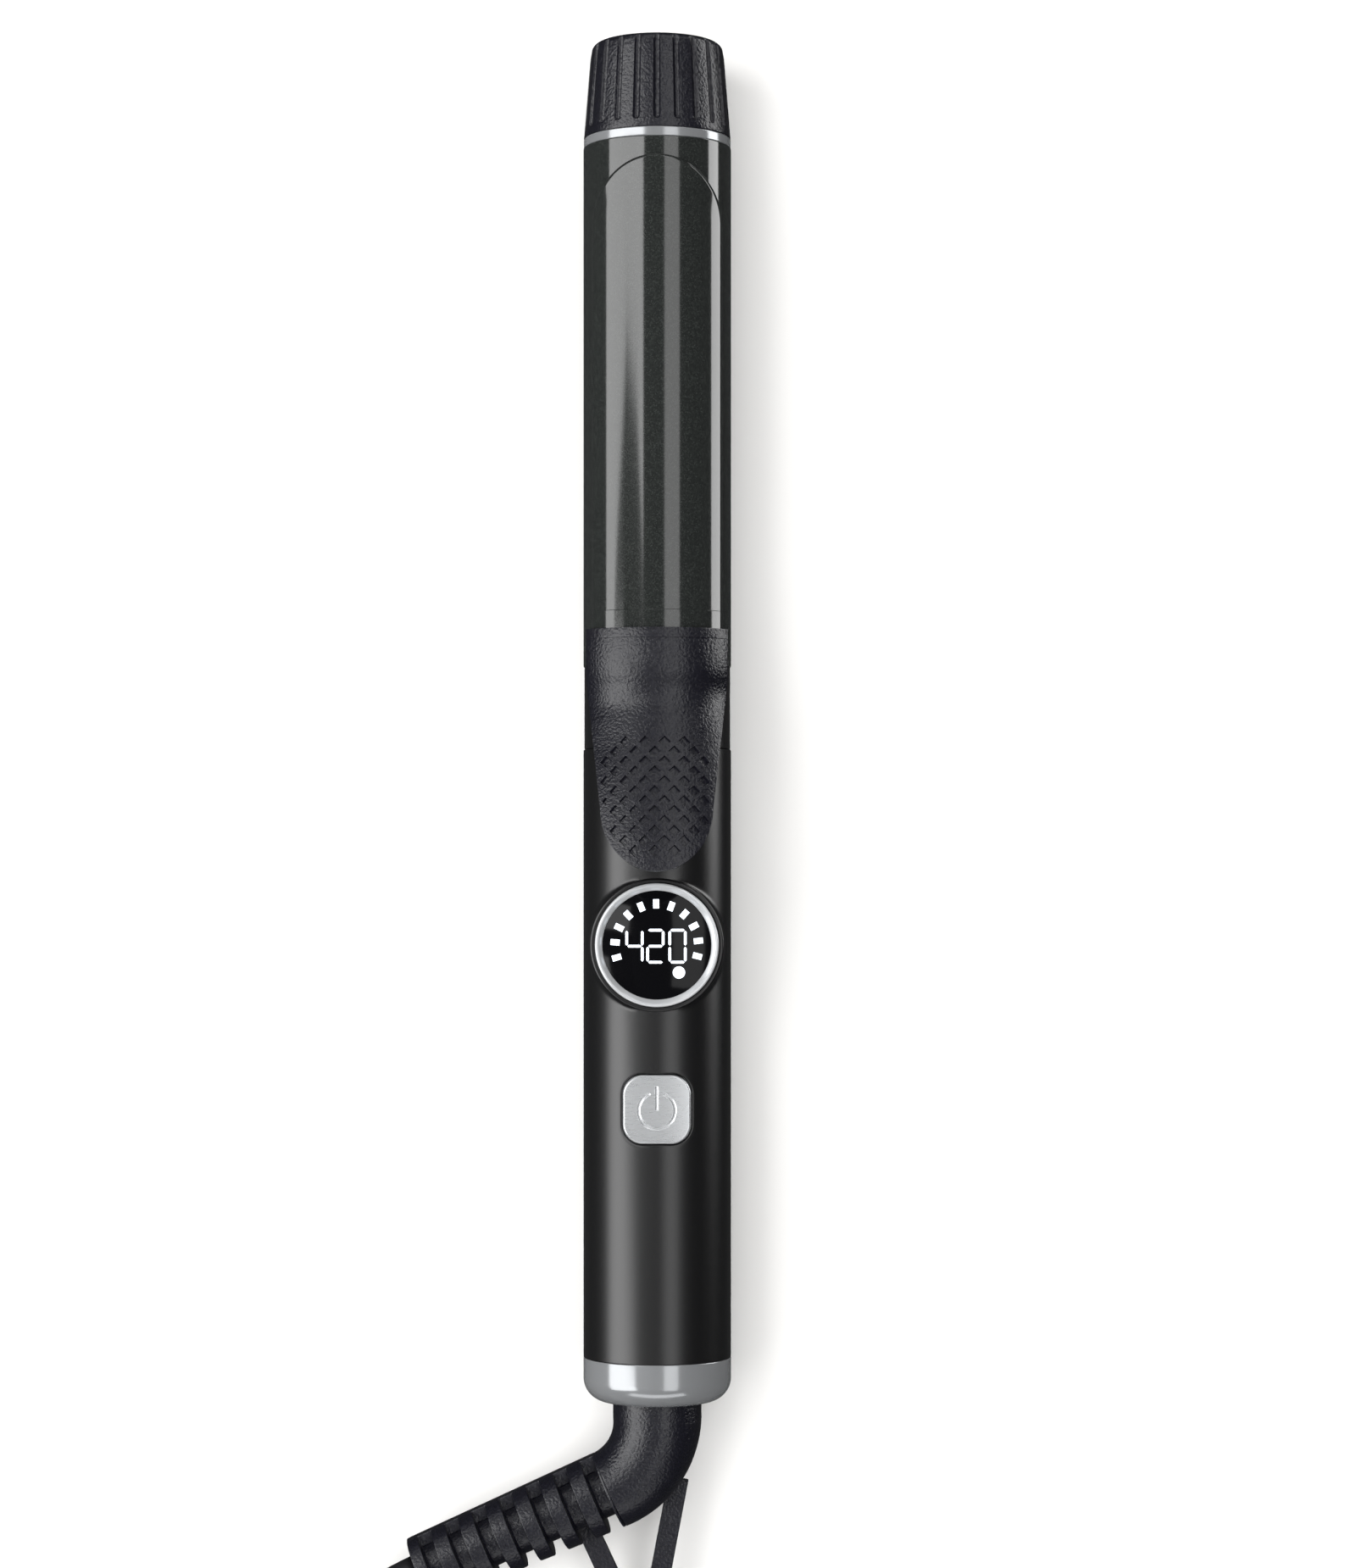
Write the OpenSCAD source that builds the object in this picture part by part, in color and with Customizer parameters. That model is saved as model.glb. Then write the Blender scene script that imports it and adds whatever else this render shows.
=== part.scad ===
// Curling wand: heated barrel with a sprung clamp, display handle and swivel cord.
// It lies on its back. X is across, Y runs to the cool tip, Z is up, and Z 0 is the table.

/* [Body] */
// Diameter of the barrel and the handle
body_d = 32; // [30:0.5:34]
// Wall of the handle shells
shell_wall = 2.2; // [1.8:0.1:2.6]
// Wall of the heated barrel
barrel_wall = 1; // [0.8:0.1:1.4]

/* [Lengths along the axis] */
// Open end of the end cap
y_cap_end = -147; // [-148:0.5:-146.5]
// Joint of the end cap and the handle
y_cap_top = -137.5; // [-138:0.5:-137]
// Joint of the handle and the collar
y_collar = -5.9; // [-6.2:0.1:-5.6]
// Joint of the collar and the barrel
y_barrel = 12; // [12:0.5:13]
// Joint of the barrel and the trim ring
y_ring = 124.4; // [124:0.1:125]
// Joint of the trim ring and the cool tip
y_tip = 126.4; // [126:0.1:127]
// Far end of the cool tip
y_tip_end = 147; // [146:0.5:148]

/* [Cool tip] */
// Diameter of the far shoulder
tip_end_d = 28.5; // [27:0.5:30]
// Number of grooves
grooves = 22; // [16:2:26]
// Radius of a groove
groove_r = 0.7; // [0.5:0.05:0.9]

/* [Clamp] */
// Half width of the plate
plate_half_w = 14.1; // [13:0.1:14.3]
// Far end of the plate
y_plate_end = 120.4; // [118:0.2:121]
// Thickness of the plate
plate_t = 0.85; // [0.7:0.05:0.9]
// Gap between the closed plate and the barrel
plate_gap = 0.15; // [0.12:0.01:0.2]
// Place of the hinge pin along the wand
y_hinge = 4.5; // [4.2:0.1:4.8]
// Height of the hinge pin above the table
z_hinge = 25.5; // [25.4:0.1:25.7]
// Radius of the hinge pin
hinge_r = 1.5; // [1.4:0.05:1.6]

/* [Display and button] */
// Centre of the display along the wand
y_display = -48; // [-49:0.5:-47]
// Diameter of the bezel
bezel_d = 26.4; // [26:0.1:26.8]
// Centre of the power button along the wand
y_button = -83; // [-84:0.5:-82]
// Width of the power button
button_w = 14.5; // [13.5:0.1:15]
// Length of the power button
button_l = 14.7; // [13.5:0.1:15]

/* [Swivel cord] */
// Radius of the elbow where it leaves the cap
elbow_r = 9.6; // [9.2:0.1:9.7]
// Bend radius of the elbow
elbow_bend = 16.8; // [15:0.1:18]
// Angle of the elbow
elbow_angle = 66.5; // [60:0.5:70]
// Length of the ribbed sleeve
sleeve_l = 45; // [40:1:50]
// Diameter of the mains cord
cord_d = 8; // [7:0.5:8]

/* [Hidden] */

$fn = 96;
body_r = body_d / 2;
axis_z = body_r;
shell_in = body_r - shell_wall;
barrel_in = body_r - barrel_wall;
collar_r = body_r - 0.2;
trim_r = body_r - 0.1;
far = 200;

// Lead core shared by the insulator, the collar and the heater
lead_bore_r = 4.5;
// Inner ends of the parts in the barrel
y_heater = [28, 112];
y_plug_in = 114;
tip_bore_r = 12;

// Board inside the handle
board_z = 17.2;
board_t = 1.6;
board_top = board_z + board_t;
board_y = [-108, -32];
handle_screw_y = [-112, -66, -24];
board_screw_at = [[-8.5, -36], [8.5, -36], [-8.5, -104], [8.5, -104]];

// Display stack
pod_r = bezel_d / 2 + 1.1;
pod_top = body_d + 0.3;
bezel_seat = 29.8;
bezel_top = body_d + 1;
lens_r = bezel_d / 2 - 1.65;
lens_z = [31.2, 32.3];
digit_h = 7.4;
digit_w = 3.8;
digit_pitch = 4.8;
segment_w = 0.9;
tick_ring = 8.9;
tick_step = 20.8;

// Button stack
button_base = 28;
button_top = 32.6;
button_corner = 4.2;
button_gap = 0.2;
plunger_top = 23.6;

// Swivel stack, from the elbow inwards
spindle_r = 4.5;
y_elbow_in = -144.6;
y_socket = [-144.3, -131];
y_clip = [-130.8, -129.8];
y_spindle_in = -118;
ring_y = [-127, -123];
ring_w = 2;
ring_r = 5.6;

// Elbow centreline: straight out of the cap, then round towards -X
elbow_straight = 3.9;
bend_c = [-elbow_bend, y_cap_end - elbow_straight];
sleeve_start = bend_c + elbow_bend * [cos(elbow_angle), -sin(elbow_angle)];
sleeve_heading = 270 - elbow_angle;
sleeve_r = [8.65, 7.7];
rib_pitch = 6.45;
window_l = 3;
windows = 7;
core_r = 5.4;
loop_z = [11.2, 14.2];
loop_w = 4.4;

// Loose cord: from the sleeve down to the table and round to the hank
cord_route = [[-51.7, -184.4, 16], [-56.8, -187, 15.9], [-61.3, -190.4, 15.1], [-65.2, -194.5, 13.8],
    [-68.2, -199.3, 12], [-70.4, -204.5, 10.1], [-71.7, -210, 8.1], [-72, -215.6, 6.3], [-72, -221.3, 4.9],
    [-72, -227, 4.1], [-72, -232.7, 4], [-72, -244, 4]];
// Tail of the cord: from the far end of the hank along the table to the plug
tail_route = [[-6, -394, 12], [-4.6, -382, 11.5], [-3.2, -376, 10.9], [-1.5, -370, 10.2], [0.2, -364, 9.6],
    [1.6, -358, 9], [2.6, -352, 8.7], [3, -346.6, 8.5], [3, -346, 8.5]];
hank_x = -39;
hank_y = -319;
hank_run = 150;
hank_end_r = 37;
hank_neck = 32;
hank_h = 2 * cord_d;
tie_w = 14;
tie_t = 1.2;
plug_at = tail_route[8];
plug_w = 26;
plug_h = 17;
plug_l = 36;
blade_gap = 12.7;
blade_l = 17.5;

// A child lying along the wand: its own Z becomes +Y from the height y
module along_y(y) translate([0, y, axis_z]) rotate([-90, 0, 0]) children();
module rod(y0, y1, r) along_y(y0) cylinder(h = y1 - y0, r = r);
module pipe(y0, y1, r, bore) difference() {
    rod(y0, y1, r);
    rod(y0 - 1, y1 + 1, bore);
}
module block(low, high) translate(low) cube(high - low);
module post(x, y, z0, z1, r) translate([x, y, z0]) cylinder(h = z1 - z0, r = r);
module upper_half(cut_z) intersection() {
    children();
    block([-far, -far, cut_z], [far, far, far]);
}
module lower_half(cut_z) intersection() {
    children();
    block([-far, -far, -far], [far, far, cut_z]);
}

// Flat shape with round corners, centred
module round_rect(w, l, r) {
    square([w - 2 * r, l], center = true);
    square([w, l - 2 * r], center = true);
    for (x = [-1, 1], y = [-1, 1]) translate([x * (w / 2 - r), y * (l / 2 - r)]) circle(r);
}

// Round bar swept through points, with one radius for each point
function unit(v) = v / norm(v);
function heading(p, i) = unit(p[min(i + 1, len(p) - 1)] - p[max(i - 1, 0)]);
function side_of(t) = unit(cross(t, [0, 0, 1]));
function ring_at(p, i, r, sides) = let (t = heading(p, i), s = side_of(t), u = cross(s, t))
    [for (k = [0:sides - 1]) p[i] + r[i] * (cos(360 * k / sides) * s + sin(360 * k / sides) * u)];
module swept_bar(p, r, sides) {
    n = len(p);
    points = [for (i = [0:n - 1]) each ring_at(p, i, r, sides)];
    walls = [for (i = [0:n - 2], k = [0:sides - 1]) let (m = (k + 1) % sides)
        each [[i * sides + k, i * sides + m, (i + 1) * sides + m],
            [i * sides + k, (i + 1) * sides + m, (i + 1) * sides + k]]];
    polyhedron(points, concat(walls, [[for (k = [sides - 1:-1:0]) k]],
        [[for (k = [0:sides - 1]) (n - 1) * sides + k]]));
}
function same(v, p) = [for (i = p) v];

// Cool tip: a tapered cup with a round shoulder, grooves round it and a screw boss inside
tip_taper = atan((trim_r - tip_end_d / 2) / (y_tip_end - y_tip));
shoulder = 1.8;
module cool_tip() color("#26262c") difference() {
    along_y(0) rotate_extrude() polygon(concat(
        [[0, y_tip], [trim_r, y_tip]],
        [for (a = [0:15:90]) [tip_end_d / 2 - shoulder * (1 - cos(a)), y_tip_end - shoulder * (1 - sin(a))]],
        [[0, y_tip_end]]));
    difference() {
        rod(y_tip - 1, y_tip + 12, tip_bore_r);
        rod(y_tip + 6.2, y_tip + 13, 3.5);
    }
    rod(y_tip, y_tip + 12, 1.1);
    for (k = [0:grooves - 1]) along_y(y_tip + 2.4) rotate(90 + 360 * k / grooves)
        translate([trim_r - 0.2, 0, 0]) rotate([0, -tip_taper, 0]) {
            cylinder(h = 30, r = groove_r, $fn = 24);
            sphere(groove_r, $fn = 24);
        }
}

module tip_plug() color("#4a4038") difference() {
    union() {
        rod(y_plug_in, y_ring, barrel_in - 0.05);
        rod(y_ring - 1, y_tip + 6, tip_bore_r - 0.1);
    }
    rod(y_plug_in - 1, y_tip + 7, 1.6);
    rod(y_plug_in - 1, y_tip + 2, 3);
}

module tip_screw() color("silver") {
    rod(y_tip, y_tip + 2, 2.8);
    rod(y_tip + 2, y_tip + 11, 1.4);
}

module tip_ring() color("#d8d8da") pipe(y_ring, y_tip, trim_r, tip_bore_r);

module barrel() color("#3c3e3d") pipe(y_barrel, y_ring, body_r, barrel_in);

// Two hollow aluminium half rounds that press the flat ceramic heater between them
heater_gap = 1.5;
module heater_half() difference() {
    rod(y_heater[0], y_heater[1], barrel_in - 0.2);
    difference() {
        rod(y_heater[0] - 1, y_heater[1] + 1, barrel_in - 2.4);
        block([-far, -far, axis_z - heater_gap - 2], [far, far, axis_z + heater_gap + 2]);
    }
}
module heater_shell_upper() color("silver") upper_half(axis_z + heater_gap) heater_half();
module heater_shell_lower() color("silver") lower_half(axis_z - heater_gap) heater_half();
module ceramic_heater() color("white") block([-9, 36, axis_z - 1.45], [9, 104, axis_z + 1.45]);
module temperature_sensor() color("#c8781e") translate([4, 0, 4.7]) rod(60, 68, 1.1);
module thermal_fuse() color("#b0a890") translate([0, 0, -5.6]) rod(60, 74, 2);

module barrel_insulator() color("#d9cfb4") difference() {
    union() {
        rod(y_barrel, y_barrel + 12, barrel_in - 0.05);
        rod(4, y_barrel, lead_bore_r);
    }
    rod(3, y_barrel + 13, 3);
}

module heater_leads() color("#b43a2e")
    for (s = [-1, 1], z = [14.9, 17.1]) {
        route = [[5.4 * s, board_y[1] + 1, z], [5.4 * s, -19, z],
            [1.1 * s, -8, z], [1.1 * s, y_heater[0] - 0.2, z]];
        swept_bar(route, same(0.8, route), 12);
    }

// Collar: carries the hinge pin across an open pocket that the clamp dips into
pocket_half_w = 8.7;
pin_half_l = 11;
module across(x0, x1, y, z, r) translate([x0, y, z]) rotate([0, 90, 0]) cylinder(h = x1 - x0, r = r);
module collar() color("#1b1b1d") difference() {
    union() {
        rod(y_collar, y_barrel, collar_r);
        rod(y_collar - 6, y_collar + 1, shell_in - 0.1);
    }
    rod(y_collar - 7, y_barrel + 1, lead_bore_r);
    block([-pocket_half_w, -4, 21.8], [pocket_half_w, 11.3, 40]);
    across(-20, 20, y_hinge, z_hinge, hinge_r);
}
module hinge_pin() color("silver") across(-pin_half_l, pin_half_l, y_hinge, z_hinge, hinge_r);

// Torsion spring: close turns round the pin, one leg on the pocket floor, one under the lever
coil_r = 2.4;
coil_turns = 4.5;
coil_pitch = 1.3;
spring_path = concat(
    [[-3.2, 9.5, 22.6], [-3.1, 7.2, 22.9]],
    [for (k = [1:coil_turns * 16]) let (a = -90 + k * 22.5)
        [-3 + coil_pitch * k / 16, y_hinge + coil_r * cos(a), z_hinge + coil_r * sin(a)]],
    [[2.9, 1.2, 28.4], [2.9, -0.6, 29.2]]);
module torsion_spring() color("silver") swept_bar(spring_path, same(0.5, spring_path), 8);

// Clamp plate: a strip of tube over the barrel with a round far end and a narrow tail
plate_in = body_r + plate_gap;
plate_out = plate_in + plate_t;
module clamp_plate() color("#3c3e3d") difference() {
    intersection() {
        pipe(6, y_plate_end + 1, plate_out, plate_in);
        translate([0, 0, axis_z + 5]) linear_extrude(20) {
            translate([-8, 6]) square([16, 20]);
            translate([-plate_half_w, y_barrel])
                square([2 * plate_half_w, y_plate_end - plate_half_w - y_barrel]);
            translate([0, y_plate_end - plate_half_w]) circle(plate_half_w);
        }
    }
    rivets(1.1);
}

// Bracket: saddle under the plate tail with two ears that turn on the pin
ear_x = 6.4;
ear_t = 1.2;
rivet_tilt = 17;
rivet_y = 9;
screw_y = 2;
module rivets(r) for (s = [-1, 1]) translate([0, rivet_y, axis_z]) rotate([0, s * rivet_tilt, 0])
    cylinder(h = 20, r = r);
module clamp_bracket() color("#9a9da1") difference() {
    union() {
        intersection() {
            pipe(0, 11, plate_in, plate_in - 1);
            block([-8, 0, axis_z], [8, 11, far]);
        }
        for (s = [-1, 1]) translate([s * (ear_x + ear_t / 2) - ear_t / 2, y_hinge, z_hinge])
            rotate([90, 0, 90])
            linear_extrude(ear_t) {
                circle(3);
                translate([-3, 0]) square([6, 4.6]);
            }
    }
    across(-20, 20, y_hinge, z_hinge, hinge_r + 0.05);
    rivets(1.1);
    post(0, screw_y, z_hinge, far, 1.2);
}
module clamp_rivets() color("silver") for (s = [-1, 1])
    translate([0, rivet_y, axis_z]) rotate([0, s * rivet_tilt, 0]) {
        translate([0, 0, 14.2]) cylinder(h = 3.3, r = 1.1);
        translate([0, 0, plate_out]) cylinder(h = 0.2, r = 1.5);
        translate([0, 0, 14.2]) cylinder(h = 0.8, r = 1.9);
    }
module lever_screw() color("silver") {
    post(0, screw_y, 29.5, 31, 2);
    post(0, screw_y, 31, 34, 1.1);
}

// Lever: an arched shell. Each row along it has a place, a crown height, an arch radius and a wall
lever_rows = [[19.6, 34.2, 18.2, 1.15], [18, 34.5, 18.2, 1.15], [15, 34.9, 18.3, 1.2], [12, 35.1, 18.4, 1.25],
    [9, 35, 18.5, 1.3], [6, 34.6, 18.7, 1.4], [3, 34.6, 19, 1.6], [0, 35.2, 19.6, 1.8],
    [-3, 36.2, 20.4, 2], [-6, 37.4, 21.3, 2], [-10, 39.2, 22.4, 2], [-14, 40.9, 23.2, 2],
    [-18, 42.5, 23.8, 2], [-22, 43.9, 24.2, 2], [-25, 44.9, 24.5, 2], [-28, 45.7, 24.8, 2],
    [-30, 46.2, 25, 2], [-31.4, 46.5, 25, 2], [-32.2, 46.6, 25, 2]];
lever_cols = 16;
pad_y = -19;
pad_l = 13.3;
pad_w = 11.95;
function lever_half_w(y) = y > pad_y ? min(15.2, pad_w + 0.118 * (y - pad_y))
    : pad_w * sqrt(max(0.01, 1 - pow((pad_y - y) / pad_l, 2)));
function lever_arc(row, t) = let (r = row[2] - t, reach = asin(lever_half_w(row[0]) / row[2]))
    [for (k = [0:lever_cols]) let (a = reach * (2 * k / lever_cols - 1))
        [r * sin(a), row[0], row[1] - row[2] + r * cos(a)]];
module lever_shell() {
    rows = len(lever_rows);
    cols = lever_cols + 1;
    skin = rows * cols;
    points = concat([for (row = lever_rows) each lever_arc(row, 0)],
        [for (row = lever_rows) each lever_arc(row, row[3])]);
    top = [for (i = [0:rows - 2], k = [0:cols - 2]) let (p = i * cols + k)
        each [[p, p + cols, p + 1], [p + 1, p + cols, p + cols + 1]]];
    under = [for (f = top) [f[0] + skin, f[2] + skin, f[1] + skin]];
    edge = concat([for (k = [0:cols - 1]) k],
        [for (i = [1:rows - 1]) i * cols + cols - 1],
        [for (k = [cols - 2:-1:0]) (rows - 1) * cols + k],
        [for (i = [rows - 2:-1:1]) i * cols]);
    n = len(edge);
    rim = [for (j = [0:n - 1]) let (a = edge[j], b = edge[(j + 1) % n])
        each [[a, b, b + skin], [a, b + skin, a + skin]]];
    polyhedron(points, [for (f = concat(top, under, rim)) [f[2], f[1], f[0]]]);
}
module clamp_lever() color("#2a2a33") difference() {
    union() {
        lever_shell();
        post(0, screw_y, plate_in + axis_z, 33.8, 2.6);
    }
    post(0, screw_y, 30, 33.9, 0.9);
}

// Handle: two half shells joined at the sides, screwed together from the back
module handle_ring() pipe(y_cap_top, y_collar, body_r, shell_in);
module handle_front() color("#141415") difference() {
    union() {
        upper_half(axis_z) handle_ring();
        post(0, y_display, 22, pod_top, pod_r);
        for (y = handle_screw_y) post(0, y, board_top + 0.2, body_d - 1, 2.8);
    }
    post(0, y_display, 20, far, lens_r + 0.2);
    post(0, y_display, bezel_seat, far, bezel_d / 2 + 0.1);
    for (y = handle_screw_y) post(0, y, axis_z, 28, 1);
    translate([0, y_button, axis_z]) linear_extrude(far)
        round_rect(button_w + 2 * button_gap, button_l + 2 * button_gap, button_corner + button_gap);
}
module handle_rear() color("#141415") difference() {
    union() {
        lower_half(axis_z) handle_ring();
        for (y = handle_screw_y) post(0, y, 1, axis_z, 3.8);
        for (p = board_screw_at) post(p[0], p[1], 4, board_z, 2);
    }
    for (y = handle_screw_y) {
        post(0, y, -1, far, 1.5);
        post(0, y, -1, 4.6, 2.8);
    }
    for (p = board_screw_at) post(p[0], p[1], 10, far, 0.7);
}
module handle_screws() color("#3a3a3c") for (y = handle_screw_y) difference() {
    union() {
        post(0, y, 2.6, 4.6, 2.6);
        post(0, y, 4.6, 26, 1.25);
    }
    translate([-2, y - 0.35, 0]) cube([4, 0.7, 3.5]);
    translate([-0.35, y - 2, 0]) cube([0.7, 4, 3.5]);
}

// Display: bezel ring, dark lens, and light windows that fill openings in the lens
module display_bezel() color("#d0d0d2") translate([0, y_display, 0]) rotate_extrude() polygon([
    [lens_r + 0.05, bezel_seat], [bezel_d / 2, bezel_seat], [bezel_d / 2, bezel_top - 0.5],
    [bezel_d / 2 - 0.5, bezel_top], [lens_r + 0.9, bezel_top], [lens_r + 0.05, lens_z[1] - 0.1]]);
module display_lens() color("#0b0b0d") difference() {
    post(0, y_display, lens_z[0], lens_z[1], lens_r);
    light_windows(lens_z[0] - 1, 3);
}
module display_segments() color("white") light_windows(lens_z[0] + 0.3, lens_z[1] - lens_z[0] - 0.3);

// One bar of a digit, lying along X with mitred ends
module segment(l) polygon([[-l / 2, 0], [segment_w / 2 - l / 2, segment_w / 2],
    [l / 2 - segment_w / 2, segment_w / 2],
    [l / 2, 0], [l / 2 - segment_w / 2, -segment_w / 2], [segment_w / 2 - l / 2, -segment_w / 2]]);
// Bars in the order top, right upper, right lower, bottom, left lower, left upper, middle
module digit(on) {
    half = (digit_h - segment_w) / 2;
    side = (digit_w - segment_w) / 2;
    l = half - 0.25;
    places = [[0, half, 0], [side, half / 2, 90], [side, -half / 2, 90], [0, -half, 0],
        [-side, -half / 2, 90], [-side, half / 2, 90], [0, 0, 0]];
    for (k = [0:6]) if (on[k]) translate([places[k][0], places[k][1]]) rotate(places[k][2])
        segment(places[k][2] == 0 ? 2 * side - 0.25 : l);
}
four_two_zero = [[false, true, true, false, false, true, true], [true, true, false, true, true, false, true],
    [true, true, true, true, true, true, false]];
module light_windows(z, h) translate([0, y_display, z]) linear_extrude(h) {
    for (k = [0:2]) translate([(k - 1) * digit_pitch, 0]) digit(four_two_zero[k]);
    for (k = [-5:5]) rotate(k * tick_step) translate([0, tick_ring]) square([1.5, 2.05], center = true);
    translate([digit_pitch, -5.5]) circle(1.4);
}
module display_module() color("#1d4a2e") {
    post(0, y_display, 27, lens_z[0] - 0.1, lens_r - 0.3);
    block([-5, -40.5, board_top], [5, -38, 27]);
}

module control_board() color("#1f5a36") difference() {
    block([-12, board_y[0], board_z], [12, board_y[1], board_top]);
    post(0, handle_screw_y[1], 0, far, 4.1);
    for (p = board_screw_at) post(p[0], p[1], 0, far, 1);
}
module board_screws() color("silver") for (p = board_screw_at) {
    post(p[0], p[1], board_top, board_top + 1.2, 1.8);
    post(p[0], p[1], 12, board_top, 0.9);
}
module triac() color("#202022") {
    block([-5, -78, board_top], [5, -70.6, board_top + 4]);
    for (x = [-2.5, 0, 2.5]) block([x - 0.4, -79.4, board_top], [x + 0.4, -78, board_top + 1]);
}
module capacitor() color("#b7842a") block([-7, -101, board_top], [7, -93, board_top + 6.5]);
module controller_chip() color("#202022") {
    block([-3.5, -56, board_top + 0.2], [3.5, -46, board_top + 1.8]);
    for (s = [-1, 1], k = [0:6]) block([s < 0 ? -5 : 3.5, -55.4 + 1.4 * k, board_top],
        [s < 0 ? -3.5 : 5, -54.9 + 1.4 * k, board_top + 0.6]);
}
module tactile_switch() color("#2b2b2d") difference() {
    block([-3, y_button - 3, board_top], [3, y_button + 3, board_top + 3.5]);
    post(0, y_button, board_top + 0.6, far, 1.8);
}
module switch_plunger() color("#e8e4da") post(0, y_button, board_top + 1.6, plunger_top, 1.74);

// Power button: cap with a shallow domed top, a keeper flange and a stem on the switch
module power_button() color("#b8b8ba") difference() {
    union() {
        intersection() {
            translate([0, y_button, button_base]) linear_extrude(10)
                round_rect(button_w, button_l, button_corner);
            translate([0, y_button, button_top - 80]) sphere(80, $fn = 180);
        }
        translate([0, y_button, 26.2]) linear_extrude(0.8) round_rect(15.6, 17, 4.6);
        translate([0, y_button, 26.9]) linear_extrude(1.2) round_rect(13.6, 13.8, 4);
        post(0, y_button, plunger_top, 26.3, 2.4);
    }
    translate([0, y_button, button_top - 0.35]) linear_extrude(2) power_sign();
}
module power_sign() {
    difference() {
        circle(3.75);
        circle(3.25);
        polygon([[0, 0], [8 * sin(24), 8 * cos(24)], [-8 * sin(24), 8 * cos(24)]]);
    }
    translate([-0.25, 0.2]) square([0.5, 4.4]);
}

// End cap: polished cup with a round lower corner and a hole for the elbow
cap_round = 5;
module end_cap() color("#cfcfd1") difference() {
    union() {
        along_y(0) rotate_extrude() polygon(concat([[0, y_cap_end]],
            [for (a = [-90:10:0])
                [body_r - cap_round + cap_round * cos(a), y_cap_end + cap_round + cap_round * sin(a)]],
            [[body_r, y_cap_top], [0, y_cap_top]]));
        rod(y_cap_top - 1, y_cap_top + 4, shell_in - 0.1);
    }
    rod(y_cap_end + 1.7, 0, 12.5);
    rod(-far, 0, elbow_r + 0.2);
}
module swivel_socket() color("#3b3b40") pipe(y_socket[0], y_socket[1], 12.4, spindle_r + 0.05);
module swivel_contacts() color("#c9a24a") for (k = [0:1]) let (s = 2 * k - 1, y = ring_y[k] - ring_w / 2) {
    block([s < 0 ? -ring_r - 0.6 : ring_r + 0.1, y + 0.3, 5],
        [s < 0 ? -ring_r - 0.1 : ring_r + 0.6, y + 1.7, 20]);
}

// Turning side of the swivel
module swivel_spindle() color("#2c2c30") difference() {
    rod(y_elbow_in, y_spindle_in, spindle_r);
    difference() {
        rod(y_clip[0], y_clip[1], spindle_r + 1);
        rod(y_clip[0] - 1, y_clip[1] + 1, spindle_r - 0.8);
    }
}
module slip_rings() color("#c9a24a") for (y = ring_y) pipe(y - ring_w / 2, y + ring_w / 2, ring_r, spindle_r);
module retaining_clip() color("silver") difference() {
    pipe(y_clip[0], y_clip[1], 7, spindle_r - 0.8);
    block([-2.2, y_clip[0] - 1, axis_z], [2.2, y_clip[1] + 1, far]);
}

// Elbow: one bar, a little thinner towards the sleeve
elbow_steps = 12;
elbow_path = concat([[0, y_elbow_in, axis_z], [0, y_cap_end, axis_z]],
    [for (k = [0:elbow_steps - 1]) let (a = elbow_angle * k / elbow_steps)
        [bend_c[0] + elbow_bend * cos(a), bend_c[1] - elbow_bend * sin(a), axis_z]],
    [for (d = [0.5, 0])
        [sleeve_start[0] - d * cos(sleeve_heading), sleeve_start[1] - d * sin(sleeve_heading), axis_z]]);
elbow_radii = concat([elbow_r, elbow_r],
    [for (k = [0:elbow_steps - 1]) elbow_r + (sleeve_r[0] - elbow_r) * k / elbow_steps],
    [sleeve_r[0], sleeve_r[0]]);
module cord_elbow() color("#2a2a33") swept_bar(elbow_path, elbow_radii, 32);

// Ribbed sleeve: a cone with windows cut to its core, all but one rail along its upper side
module in_sleeve() translate([sleeve_start[0], sleeve_start[1], axis_z]) rotate([0, 0, sleeve_heading])
    rotate([0, 90, 0]) children();
module strain_relief() color("#2a2a33") in_sleeve() difference() {
    cylinder(h = sleeve_l, r1 = sleeve_r[0], r2 = sleeve_r[1]);
    for (k = [0:windows - 1]) translate([0, 0, 0.6 + k * rib_pitch]) difference() {
        cylinder(h = window_l, r = 12);
        translate([0, 0, -1]) cylinder(h = window_l + 2, r = core_r);
        translate([-2, -12, -1]) cube([4, 12, window_l + 2]);
    }
}

// Hanging loop: two flat bars moulded into the elbow and the sleeve that meet in a round end
loop_end = [-2.6, -202.5];
loop_feet = [[4.6, -164.5], [-15.6, -174.5]];
module flat_bar(p, q) {
    d = q - p;
    translate(p) rotate(atan2(d[1], d[0])) translate([0, -loop_w / 2]) square([norm(d), loop_w]);
    translate(q) circle(loop_w / 2);
}
module hanging_loop() color("#2a2a33") translate([0, 0, loop_z[0]]) linear_extrude(loop_z[1] - loop_z[0])
    for (p = loop_feet) flat_bar(p, loop_end);

module power_cord() color("#1a1a1c") swept_bar(cord_route, same(cord_d / 2, cord_route), 10);
module cord_tail() color("#1a1a1c") swept_bar(tail_route, same(cord_d / 2, tail_route), 10);

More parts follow.
